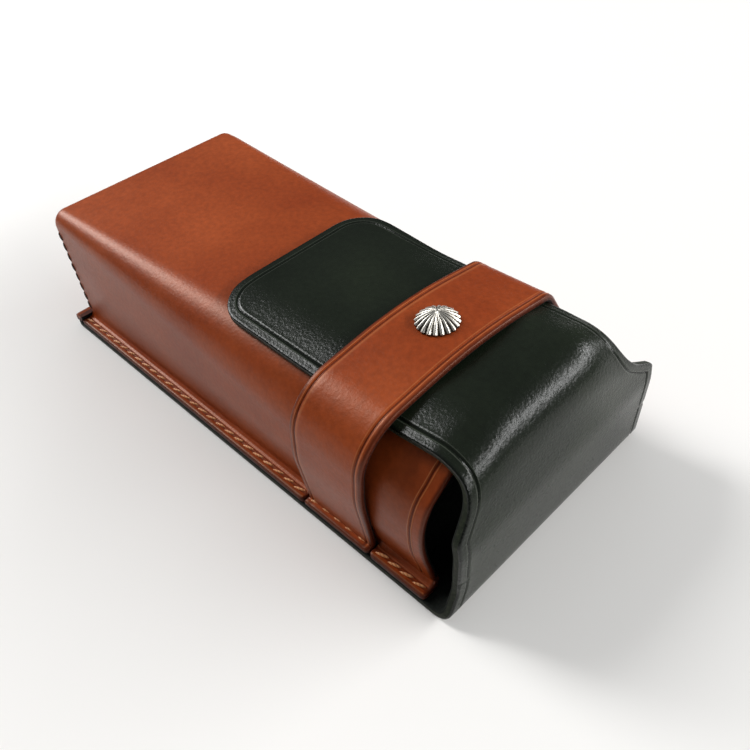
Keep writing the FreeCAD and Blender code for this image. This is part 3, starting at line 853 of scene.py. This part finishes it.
def build_shell():
    stations = shell_stations()
    across = len(stations)
    outer, outer_gaps, rows = shell_surface(stations, 0.0)
    inner, inner_gaps, _ = shell_surface(stations, leather)
    extra, cap = end_wall(outer[:across], spacing=3.0)
    shrink = Vector(((half_width - leather) / half_width, (case_top - leather) / case_top))
    outer_extra = [Vector((far_x, p.x, p.y)) for p in extra]
    inner_extra = [
        Vector((far_x + leather, p.x * shrink.x, sole_top + (p.y - sole_top) * shrink.y)) for p in extra
    ]
    body = rows * across
    cap = [tuple(i if i < across else i - across + body for i in face) for face in cap]
    tube = [
        (r * across + i, (r + 1) * across + i, (r + 1) * across + i + 1, r * across + i + 1)
        for r in range(rows - 1)
        for i in range(across - 1)
    ]
    total = body + len(extra)
    grain = tube + cap
    flesh = [tuple(i + total for i in face[::-1]) for face in grain]
    last = (rows - 1) * across
    loop = [last + i for i in range(across)]
    loop += [r * across + across - 1 for r in range(rows - 2, -1, -1)]
    foot_front = [r * across for r in range(rows - 1)]
    rim = [(a, a + total, b + total, b) for a, b in zip(loop, loop[1:])]
    rim += [(a, a + total, b + total, b) for a, b in zip(foot_front, foot_front[1:] + [last])]
    rim += [(across - 1, total + across - 1, total, 0)]
    vertices = outer + outer_extra + inner + inner_extra
    gaps = outer_gaps + [99.0] * len(extra) + inner_gaps + [99.0] * len(extra)
    indices = [0] * len(grain) + [1] * len(flesh) + [2] * len(rim)
    press = pressed_line(np.array(gaps), mouth_crease, crease_width, crease_depth)
    marks = {"edge_mm": gaps, "pressed_mm": press}
    piece = make_mesh("shell_walls", vertices, grain + flesh + rim, saddle, indices, marks)
    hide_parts("body_shell")
    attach(piece, "case")
    return piece


shell = build_shell()
print("shell walls:", len(shell.data.polygons), "faces")

# %% [markdown]
# The sewn edge is the foot of each wall, turned out flat so that it can be stitched to the
# back. It is cut away where the strap comes down, and slit at the far corners, so it is made
# as separate bent strips whose upright part meets the wall in one face. A scribed line marks
# the fold, and the stitches lie in a shallow channel.

# %% Sewn edge of the shell
strap_low, strap_high = corners("strap")
strap_foot_gap = 0.5
corner_slit = 0.5
seam_inset = 2.0
flange_cut_radius = 1.2
scribe_inset = 1.55        # from the wall's face to the line scribed at the fold
strap_lean = 2.8           # how far it leans over a rise of strap_rise
strap_rise = 27
strap_pivot = 26           # height at which the lean changes nothing
wall_mid = half_width - leather / 2
fold_mid_radius = 1.6 + leather / 2
flange_mid_z = sole_top + leather / 2


def strap_shift(z):
    """The strap leans: its top stands nearer the mouth than its feet do."""
    return strap_lean * (z - strap_pivot) / strap_rise


def flange_relief(flat, gaps):
    """Channel under the stitches and a scribed line at the fold."""
    across = flat[:, 1]
    channel = pressed_line(across, seam_inset, width=1.1, depth=0.22)
    return channel + pressed_line(across, flange_width - scribe_inset, width=0.45, depth=0.2)


def build_flange(name, start, end, place_across):
    """Strip of sewn edge from start to end, whose cut edge is at zero across."""
    outer = (-flange_half, flange_mid_z)
    route = bent_route([outer, (-wall_mid, flange_mid_z), (-wall_mid, wall_foot)], [fold_mid_radius])
    width = route_length(route)
    points = [(start, 0.0), (end, 0.0), (end, width), (start, width)]
    outline = rounded_outline(points, [flange_cut_radius, flange_cut_radius, 0.0, 0.0], spacing=1.0)
    flat, faces, _ = flat_shape(outline, insets=[0.15, 0.35, 0.6], spacing=0.42)
    trim = 0.6
    cut = [(start, width + 1), (start, trim), (start + trim, 0.0)]
    cut += [(end - trim, 0.0), (end, trim), (end, width + 1)]
    gaps = gap_to_line(flat, cut)

    def place(point):
        spot, heading = along_route(route, point.y)
        return place_across(point.x, spot, unit(heading + math.pi / 2))

    piece = bent_sheet(name, flat, faces, gaps, place, leather, saddle, flange_relief, rounding=0.4)
    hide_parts("body_shell")
    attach(piece, "case")
    return piece


def along_side(side):
    """Puts a strip along the front (side 1), or mirrored along the back (side -1)."""
    return lambda x, spot, normal: (
        Vector((x, side * spot.x, spot.y)), Vector((0, side * normal.x, normal.y))
    )


def on_end(y, spot, normal):
    return Vector((far_x + half_width + spot.x, y, spot.y)), Vector((normal.x, 0, normal.y))


foot_shift = strap_shift(flange_mid_z)
flange_runs = {
    "far": (far_x + corner_slit, strap_low.x + foot_shift - strap_foot_gap),
    "mouth": (strap_high.x + foot_shift + strap_foot_gap, mouth_x - 1.2),
}
for run, (start, end) in flange_runs.items():
    build_flange("sewn_edge_front_" + run, start, end, along_side(1))
    build_flange("sewn_edge_back_" + run, start, end, along_side(-1))
build_flange("sewn_edge_end", -flange_half, flange_half, on_end)
print("sewn edge: 5 strips")

# %% [markdown]
# ## The green hide
# Back, end panel, flap and tongue are one green hide. Its route runs under the case, turns up
# past the mouth, folds over the top and lies back along it. Seen flat it is wide under the
# case, steps in at the hips, and narrows to the tongue with its two round corners.

# %% Route of the green hide
sole_far_x = corners("back_panel")[0].x
tongue_tip_x = corners("flap_tongue")[0].x
fold_start_x = corners("flap_bottom_bend")[0].x
panel_bow = 1.6
panel_bow_radius = 45.0
bottom_fold_radius = 6.0
top_fold_radius = 12.0
crest_run = 3.0
crest_radius = 30.0
tongue_corner_radius = 11.0
rest_gap = 0.3
crest_rise = 2.0
tongue_top = case_top + rest_gap + green_leather
crest_top = tongue_top + crest_rise
tongue_mid_z = tongue_top - green_leather / 2
crest_mid_z = crest_top - green_leather / 2
panel_mid_x = fold_start_x + bottom_fold_radius - green_leather / 2
green_route = bent_route(
    [
        (sole_far_x, green_leather / 2),
        (panel_mid_x, green_leather / 2),
        (panel_mid_x + panel_bow, crest_top / 2),
        (panel_mid_x, crest_mid_z),
        (strap_high.x + crest_run, tongue_mid_z),
        (tongue_tip_x, tongue_mid_z),
    ],
    [
        bottom_fold_radius - green_leather / 2,
        panel_bow_radius,
        top_fold_radius - green_leather / 2,
        crest_radius,
    ],
)
green_length = route_length(green_route)
print("green hide: %.0f mm from the far edge to the tongue's tip" % green_length)

# %% Outline of the green hide
tongue_half = 28.5
tongue_front_y = -mouth_lean - tongue_half
tongue_back_y = -mouth_lean + tongue_half
hip_half = half_width + 1.5
hip_top = case_top - 14.0
neck_height = case_top - 1.5
foot_radius = 3.5
neck_radius = 10.0
sole_corner_radius = 2.5
split_height = 15


def side_line(side, tongue_y, foot_top, hip_bottom, hip_radius):
    """Side edge of the end panel seen from the front, as heights and places across."""
    points = [
        (0.0, side * flange_half),
        (foot_top, side * flange_half),
        (hip_bottom, side * hip_half),
        (hip_top, side * hip_half),
        (neck_height, tongue_y),
        (crest_top + 5, tongue_y),
    ]
    route = bent_route(points, [foot_radius, foot_radius, hip_radius, neck_radius])
    length = route_length(route)
    samples = [along_route(route, length * i / 200)[0] for i in range(201)]
    return [p.x for p in samples], [p.y for p in samples]


front_line = side_line(-1, tongue_front_y, foot_top=3.0, hip_bottom=12.0, hip_radius=6.0)
back_line = side_line(1, tongue_back_y, foot_top=0.5, hip_bottom=5.0, hip_radius=1.5)
panel_split = next(
    s for s in range(150, int(green_length)) if along_route(green_route, s)[0].y > split_height
)


def strip_end(front_y, back_y, far_radius, tip_radius, spacing):
    """Outline of a strip as long as the hide, with rounded corners at either end."""
    ends = [(0, front_y), (green_length, front_y), (green_length, back_y), (0, back_y)]
    return rounded_outline(ends, [far_radius, tip_radius, tip_radius, far_radius], spacing)


def green_outline(spacing=1.1, far_zone=3):
    """The hide laid flat: distance along its route against place across the case."""
    straight = green_length - tongue_corner_radius
    count = math.ceil(straight / spacing)
    stations = [straight * i / count for i in range(1, count)]
    stations = [s for s in stations if s > far_zone and abs(s - panel_split) > 0.5]
    stations = sorted([*stations, float(panel_split)])
    heights = [along_route(green_route, s)[0].y for s in stations]
    front = [Vector((s, float(np.interp(z, *front_line)))) for s, z in zip(stations, heights)]
    back = [Vector((s, float(np.interp(z, *back_line)))) for s, z in zip(stations, heights)]
    far_end = strip_end(-flange_half, flange_half, sole_corner_radius, 0.0, spacing)
    far_back = [p for p in far_end if p.x < far_zone and p.y > 0]
    far_front = [p for p in far_end if p.x < far_zone and p.y <= 0]
    tip = strip_end(tongue_front_y, tongue_back_y, 0.0, tongue_corner_radius, spacing)
    tip = [p for p in tip if p.x > straight + 0.01]
    tip.sort(key=lambda p: math.atan2(p.y + mouth_lean, p.x - straight + 1))
    far_back.sort(key=lambda p: (-p.y, -p.x))
    far_front.sort(key=lambda p: (-p.y, p.x))
    return front + tip + back[::-1] + far_back + far_front


outline = green_outline()
print("green outline:", len(outline), "points, split at", panel_split)


# %% [markdown]
# The hide is cut in two meshes at a straight height of the end panel, because each half bends
# in one fold. It is not stiff: the tongue droops over the shell's rounded edges, and the
# fold over the mouth, which nothing holds up at its ends, sags into an arch.

# %% Placing the green hide
flap_crease = 3.0
slack = 1.45               # how soft the hide is, as a factor on every sag
stiff_length = 40          # the hide droops from this far before the split
sole_channel_end = fold_start_x - sole_far_x


def droop(x, y, z):
    """How far the flap hangs below its flat place: most at its sides, over the mouth."""
    from_tip, past_strap = x - tongue_tip_x, x - strap_high.x
    front_sag = 2.0 + 1.2 * climb(from_tip, 0, 45)
    back_sag = 0.3 + 2.5 * climb(from_tip, 6, 36) + 1.4 * climb(past_strap, 3, 17)
    sideways = front_sag * climb(-y, 17, 42) + back_sag * climb(y, 11, 33)
    return slack * sideways * climb(z, 20, 46)


def green_spot(s, y):
    spot, _ = along_route(green_route, s)
    fall = droop(spot.x, y, spot.y) if s > panel_split - stiff_length else 0.0
    return Vector((spot.x, y, spot.y - fall))


def green_place(point):
    s, y = point.x, point.y
    step = 0.05
    along = green_spot(s + step, y) - green_spot(s - step, y)
    across = green_spot(s, y + step) - green_spot(s, y - step)
    return green_spot(s, y), across.cross(along).normalized()


def green_relief(flat, gaps):
    """Crease beside the flap's edges, and the stitch channel under the sole."""
    on_sole = flat[:, 0] < sole_channel_end
    channel = np.maximum(pressed_line(gaps, seam_inset, width=0.7, depth=0.5), 0.0)
    crease = pressed_line(gaps, flap_crease, width=0.6, depth=0.25)
    return np.where(on_sole, channel, crease)


def green_half(name, flat, faces, gaps, keep):
    """One side of the split: the faces whose middle passes the test."""
    kept = [f for f in faces if keep(sum(flat[i].x for i in f) / len(f))]
    piece = bent_sheet(name, flat, kept, gaps, green_place, green_leather, green, green_relief)
    return piece


split_line = [Vector((panel_split, y)) for y in np.linspace(-hip_half, hip_half, 60)]
rim_insets = [0.12, 0.3, 0.55, 1.0, 1.6, 2.1, 2.45, 2.75, 3.0, 3.25, 3.55, 3.95]
flat, faces, gaps = flat_shape(outline, rim_insets, spacing=1.7, cut_lines=[split_line])
lower = green_half("sole_and_lower_flap", flat, faces, gaps, lambda s: s < panel_split)
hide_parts("back_panel", "flap_bottom_bend", "flap_end_panel")
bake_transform(lower)
upper = green_half("upper_flap_and_tongue", flat, faces, gaps, lambda s: s > panel_split)
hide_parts("flap_end_panel", "flap_tongue")
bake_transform(upper)
print("green hide:", len(faces), "faces flat")

# %% [markdown]
# ## The strap
# The strap is a short band over the case, sewn down at both feet. It bows out from the walls,
# because the maker left it long enough for the tongue to slide under, it has slid towards
# the front with the top of the case, and its top stands a little nearer the mouth than its
# feet. Its cut edges are round and polished a dark red-brown.

# %% Strap
strap_width = strap_high.x - strap_low.x
strap_mid_x = (strap_low.x + strap_high.x) / 2
strap_crease = 2.0
strap_foot_y = half_width + 0.3 + leather / 2
strap_front_bow = 3.8      # how far the front side stands out from its foot
strap_bends = [            # each corner of the strap's middle line (y, z), and its radius
    ((-strap_foot_y, flange_mid_z), 1.2),
    ((-strap_foot_y - strap_front_bow, 27.0), 45.0),
    ((-42.0, 48.0), 14.0),
    ((-mouth_lean, 52.8), 120.0),
    ((25.6, 48.3), 5.0),
    ((strap_foot_y - 0.8, 30.0), 30.0),
    ((strap_foot_y, flange_mid_z), 1.2),
]
strap_route = bent_route(
    [(-flange_half, flange_mid_z), *(corner for corner, _ in strap_bends), (flange_half, flange_mid_z)],
    [radius for _, radius in strap_bends],
)
strap_length = route_length(strap_route)


def strap_place(point):
    spot, heading = along_route(strap_route, point.y)
    normal = unit(heading + math.pi / 2)
    x = strap_mid_x + point.x + strap_shift(spot.y)
    return Vector((x, spot.x, spot.y)), Vector((0, normal.x, normal.y))


def strap_relief(flat, gaps):
    beside = strap_width / 2 - np.abs(flat[:, 0])
    return pressed_line(beside, strap_crease, width=0.55, depth=0.24)


def build_strap():
    half = strap_width / 2
    ends = [(-half, 0), (half, 0), (half, strap_length), (-half, strap_length)]
    outline = rounded_outline(ends, radii=[0.4, 1.2, 1.2, 0.4], spacing=0.9)
    insets = [0.12, 0.3, 0.55, 0.95, 1.4, 1.65, 1.85, 2.0, 2.15, 2.35, 2.7]
    flat, faces, gaps = flat_shape(outline, insets, spacing=1.3)
    piece = bent_sheet(
        "strap_band", flat, faces, gaps, strap_place, leather, saddle, strap_relief, rounding=0.65
    )
    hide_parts("strap")
    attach(piece, "case")
    return piece


build_strap()
print("strap: %.0f mm long" % strap_length)

# %% [markdown]
# ## The concho
# The concho is a small cast parasol, whose sharp rays run from its crown to a scalloped rim.
# One function of angle and distance gives its height, so a disc of rings and spokes is enough,
# and the same function tells the material where the dark patina lies. The screw behind it is
# turned on a lathe, so it is a profile spun round.

# %% Concho and its screw
concho_radius = 5.8
concho_height = 3.6
concho_rim = 0.7
concho_rays = 20
ray_depth = 0.45
ray_sharpness = 1.4
scallop_depth = 0.55
crown_fullness = 1.9
ring_shares = [0.03, 0.06, 0.1, 0.15, 0.2, 0.26, *(0.26 + 0.72 * i / 16 for i in range(1, 17)), 0.99, 1.0]
strap_crown = max(along_route(strap_route, strap_length * i / 400)[0].y for i in range(401))
strap_top = strap_crown + leather / 2
concho_base = Vector((strap_mid_x + strap_shift(strap_crown), -mouth_lean, strap_top - 0.05))


def concho_point(share, angle):
    """Place on the concho's top, and how deep it lies in a valley between two rays."""
    turn = (concho_rays * angle / (2 * math.pi)) % 1
    valley = (1 - abs(2 * turn - 1)) ** ray_sharpness * climb(share, 0.02, 0.14)
    out = concho_radius * share - scallop_depth * valley * share**3
    dome = concho_rim + (concho_height - concho_rim) * (1 - share**crown_fullness)
    height = dome - ray_depth * valley * (0.2 + 0.8 * share)
    return Vector((out * math.cos(angle), out * math.sin(angle), height)), valley


def spun_faces(rings, spokes):
    """Faces that join a first point, rings of points, each spoke by spoke, and a last point."""
    following = [*range(1, spokes), 0]
    faces = [(0, 1 + i, 1 + j) for i, j in enumerate(following)]
    for a in range(1, 1 + (rings - 1) * spokes, spokes):
        b = a + spokes
        faces += [(a + i, b + i, b + j, a + j) for i, j in enumerate(following)]
    last = 1 + (rings - 1) * spokes
    return faces + [(last + j, last + i, last + spokes) for i, j in enumerate(following)]


def build_concho():
    spokes = concho_rays * 10
    vertices = [concho_base + concho_point(0, 0)[0]]
    valleys = [0.0]
    for share in ring_shares:
        for i in range(spokes):
            place, valley = concho_point(share, 2 * math.pi * i / spokes)
            vertices.append(concho_base + place)
            valleys.append(valley)
    outer = vertices[-spokes:]
    underside = (0.5, 1.0), (1.0, 0.97)     # two more rings: how far down, and how wide
    for drop, shrink in underside:
        for point in outer:
            flat = concho_base + (point - concho_base) * shrink
            height = (point.z - concho_base.z) * (1 - drop)
            vertices.append(Vector((flat.x, flat.y, concho_base.z + height)))
            valleys.append(0.9)
    vertices.append(concho_base.copy())
    valleys.append(1.0)
    faces = spun_faces(len(ring_shares) + 2, spokes)
    piece = make_mesh("concho", vertices, faces, [silver], attributes={"valley": valleys})
    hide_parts("concho_cap")
    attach(piece, "case")


def spin(name, profile, centre, material):
    """A turned piece: a profile of (radius, height), spun round an upright line."""
    steps = 48
    rings = [(r, z) for r, z in profile if r > 0]
    vertices = [centre + Vector((0, 0, profile[0][1]))]
    angles = [2 * math.pi * i / steps for i in range(steps)]
    for r, z in rings:
        vertices += [centre + Vector((r * math.cos(a), r * math.sin(a), z)) for a in angles]
    vertices.append(centre + Vector((0, 0, profile[-1][1])))
    faces = [face[::-1] for face in spun_faces(len(rings), steps)]
    piece = make_mesh(name, vertices, faces, [material], attributes={"valley": [0.3] * len(vertices)})
    return piece


build_concho()
print("concho: %d rays" % concho_rays)

# %% [markdown]
# The screw's head is under the strap and its post ends inside the concho. Both are simple
# turned shapes, so one profile draws them. The divider inside the case is a plain shelf of
# near-black leather, seen only from the mouth.

# %% Screw and divider
screw_low, screw_high = corners("concho_screw")
head_radius = (screw_high.x - screw_low.x) / 2
post_height = screw_high.z - screw_low.z
post_radius = 1.5
head_height = 0.9
divider_corner_radius = 11.0
screw_profile = [
    (0, 0), (head_radius - 0.3, 0), (head_radius - 0.08, 0.1), (head_radius, 0.3),
    (head_radius, 0.75), (head_radius - 0.15, head_height), (post_radius + 0.1, head_height),
    (post_radius, 1.0), (post_radius, post_height - 0.1), (post_radius - 0.1, post_height),
    (0, post_height),
]
screw_place = Vector((concho_base.x, concho_base.y, strap_top - leather - head_height))
screw = spin("concho_screw_turned", screw_profile, screw_place, silver)
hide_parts("concho_screw")
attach(screw, "case")


def build_divider():
    """A level shelf whose long edges follow the walls as they lean."""
    low, high = corners("compartment_divider")
    wall = half_width - leather
    lean = loosened(high.x) * mouth_lean * (low.z - wall_foot) / (case_top - mouth_drop - wall_foot)
    ends = [(low.x, -wall), (high.x, -wall - lean), (high.x, wall - lean), (low.x, wall)]
    radii = [0.0, divider_corner_radius, divider_corner_radius, 0.0]
    outline = rounded_outline(ends, radii, spacing=1.5)
    flat, faces, gaps = flat_shape(outline, insets=[0.15, 0.4, 0.8], spacing=2.6)

    def place(point):
        return Vector((point.x, point.y, (low.z + high.z) / 2)), Vector((0, 0, 1))

    thickness = high.z - low.z
    coloured = [black_flesh] * 3
    piece = bent_sheet("divider_shelf", flat, faces, gaps, place, thickness, coloured, rounding=0.35)
    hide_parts("compartment_divider")
    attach(piece, "case")


build_divider()
print("screw and divider: ready")

# %% [markdown]
# ## Hand stitching
# Saddle stitches repeat by the hundred, and a hand-sewn row is regular but never perfect, so
# they are laid by Geometry Nodes. A seam is a line whose points carry the direction that the
# stitches face and the number of stitches. The nodes space that number along it, lay one
# thread on each point, and turn and size each one a little differently. The seed is fixed,
# so every run sews the same seam. Each seam could also be a swept tube, but then the threads
# would have no ends that dive into the leather.

# %% Stitch maker
def stitch_tree(name):
    tree = bpy.data.node_groups.new(name, "GeometryNodeTree")
    tree.is_modifier = True
    face = tree.interface
    face.new_socket("Geometry", in_out="INPUT", socket_type="NodeSocketGeometry")
    for label, kind in (
        ("Length", "NodeSocketFloat"), ("Width", "NodeSocketFloat"), ("Height", "NodeSocketFloat"),
        ("Slant", "NodeSocketFloat"), ("Wander", "NodeSocketFloat"), ("Seed", "NodeSocketInt"),
        ("Thread", "NodeSocketMaterial"),
    ):
        face.new_socket(label, in_out="INPUT", socket_type=kind)
    face.new_socket("Geometry", in_out="OUTPUT", socket_type="NodeSocketGeometry")
    given = add_node(tree, "NodeGroupInput").outputs
    curve = add_node(tree, "GeometryNodeMeshToCurve", links={"Mesh": given["Geometry"]})
    count = add_node(tree, "GeometryNodeInputNamedAttribute", {"Name": "stitch_count"}, data_type="INT")
    spaced = add_node(
        tree, "GeometryNodeResampleCurve",
        links={"Curve": curve.outputs["Curve"], "Count": count.outputs["Attribute"]}, mode="COUNT",
    )
    tangent = add_node(tree, "GeometryNodeInputTangent").outputs["Tangent"]
    out = add_node(tree, "GeometryNodeInputNamedAttribute", {"Name": "out"}, data_type="FLOAT_VECTOR")
    along = add_node(
        tree, "FunctionNodeAlignRotationToVector", links={"Vector": tangent}, axis="X", pivot_axis="AUTO"
    )
    facing = add_node(
        tree, "FunctionNodeAlignRotationToVector",
        links={"Rotation": along.outputs["Rotation"], "Vector": out.outputs["Attribute"]},
        axis="Z", pivot_axis="X",
    )

    def jitter(low, high, salt):
        seed = add_node(
            tree, "ShaderNodeMath", {1: float(salt)}, {0: given["Seed"]}, operation="ADD"
        )
        return add_node(
            tree, "FunctionNodeRandomValue", {"Min": low, "Max": high}, {"Seed": seed.outputs[0]},
            data_type="FLOAT",
        ).outputs[1]

    lean = add_node(
        tree, "ShaderNodeMath", links={0: jitter(-1.0, 1.0, 1), 1: given["Wander"], 2: given["Slant"]},
        operation="MULTIPLY_ADD",
    )
    turn = add_node(tree, "FunctionNodeAxisAngleToRotation", {"Axis": (0, 0, 1)}, {"Angle": lean.outputs[0]})
    turned = add_node(
        tree, "FunctionNodeRotateRotation",
        links={"Rotation": facing.outputs["Rotation"], "Rotate By": turn.outputs["Rotation"]},
        rotation_space="LOCAL",
    )
    shares = ("Length", 0.47, 0.53), ("Width", 0.45, 0.55), ("Height", 0.9, 1.1)
    sized = [
        add_node(
            tree, "ShaderNodeMath", links={0: given[label], 1: jitter(low, high, salt)}, operation="MULTIPLY"
        )
        for salt, (label, low, high) in enumerate(shares, start=2)
    ]
    size = add_node(
        tree, "ShaderNodeCombineXYZ", links={i: node.outputs[0] for i, node in enumerate(sized)}
    )
    bead = add_node(tree, "GeometryNodeMeshUVSphere", {"Segments": 20, "Rings": 12, "Radius": 1.0})
    laid = add_node(
        tree, "GeometryNodeInstanceOnPoints",
        links={
            "Points": spaced.outputs["Curve"], "Instance": bead.outputs["Mesh"],
            "Rotation": turned.outputs["Rotation"], "Scale": size.outputs[0],
        },
    )
    real = add_node(tree, "GeometryNodeRealizeInstances", links={"Geometry": laid.outputs["Instances"]})
    smooth = add_node(tree, "GeometryNodeSetShadeSmooth", links={"Geometry": real.outputs["Geometry"]})
    coloured = add_node(
        tree, "GeometryNodeSetMaterial",
        links={"Geometry": smooth.outputs["Geometry"], "Material": given["Thread"]},
    )
    add_node(tree, "NodeGroupOutput", links={"Geometry": coloured.outputs["Geometry"]})
    return tree


# %% Seams sewn on lines
sewing = stitch_tree("hand_stitches")


def sew(name, runs, values, replaced):
    """Sews each run (first place, last place, facing, number) and keeps the threads as a mesh."""
    mesh = bpy.data.meshes.new(name + "_lines")
    ends = [Vector(p) * MM for first, last, _, _ in runs for p in (first, last)]
    mesh.from_pydata(ends, [(2 * i, 2 * i + 1) for i in range(len(runs))], [])
    facing = mesh.attributes.new("out", "FLOAT_VECTOR", "POINT")
    facing.data.foreach_set("vector", [c for _, _, out, _ in runs for _ in range(2) for c in out])
    number = mesh.attributes.new("stitch_count", "INT", "POINT")
    number.data.foreach_set("value", [n for *_, n in runs for _ in range(2)])
    lines = bpy.data.objects.new(name + "_lines", mesh)
    bpy.context.scene.collection.objects.link(lines)
    modifier = lines.modifiers.new("sewing", "NODES")
    for item in sewing.interface.items_tree:
        if item.in_out == "INPUT" and item.name in values:
            modifier[item.identifier] = values[item.name]
    modifier.node_group = sewing
    sewn = lines.evaluated_get(bpy.context.evaluated_depsgraph_get())
    threads = bpy.data.meshes.new_from_object(sewn)
    bpy.data.objects.remove(lines)
    for layer in ("out", "stitch_count"):
        if layer in threads.attributes:
            threads.attributes.remove(threads.attributes[layer])
    piece = bpy.data.objects.new(name, threads)
    bpy.context.scene.collection.objects.link(piece)
    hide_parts(*replaced)
    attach(piece, "case")
    return piece


def spread_run(start, end, pitch, place, out):
    """A run from start to end, whose stitches are evenly spaced at about the pitch."""
    count = max(2, round((end - start) / pitch))
    step = (end - start) / count
    return place(start + step / 2), place(end - step / 2), out, count


seam_pitch = 4.65
seam_y = flange_half - seam_inset
flange_top = sole_top + leather
groove_z = 0.55
up, down = (0, 0, 1), (0, 0, -1)
side_runs = []
for side in (-1, 1):
    for start, end in [*flange_runs.values(), (strap_low.x + foot_shift, strap_high.x + foot_shift)]:
        inner, outer = start + seam_inset / 2, end - seam_inset / 2
        for z, out in ((flange_top - 0.12, up), (groove_z, down)):
            side_runs.append(
                spread_run(inner, outer, seam_pitch, lambda x, z=z, side=side: (x, side * seam_y, z), out)
            )
seam_x = far_x - flange_width + seam_inset
reach = half_width - seam_inset / 2
for z, out in ((flange_top - 0.12, up), (groove_z, down)):
    side_runs.append(spread_run(-reach, reach, seam_pitch, lambda y, z=z: (seam_x, y, z), out))
sew(
    "orange_stitches", side_runs,
    {"Length": 4.0 * MM, "Width": 0.75 * MM, "Height": 0.42 * MM, "Slant": 0.24, "Wander": 0.06,
     "Seed": 7, "Thread": orange_thread},
    ("seam_thread_front", "seam_thread_back", "seam_thread_end", "strap_thread_front", "strap_thread_back"),
)

corner_low, corner_high = corners("corner_thread_front")
corner_runs = []
for side in (-1, 1):
    for place, out in (
        (lambda z, side=side: (far_x + 2.5, side * half_width, z), (0, side, 0)),
        (lambda z, side=side: (far_x, side * (half_width - 2.5), z), (-1, 0, 0)),
    ):
        corner_runs.append(spread_run(corner_low.z, corner_high.z, 4.2, place, out))
sew(
    "dark_corner_stitches", corner_runs,
    {"Length": 3.3 * MM, "Width": 0.85 * MM, "Height": 0.45 * MM, "Slant": 0.2, "Wander": 0.08,
     "Seed": 3, "Thread": brown_thread},
    ("corner_thread_front", "corner_thread_back"),
)
print("stitches sewn")
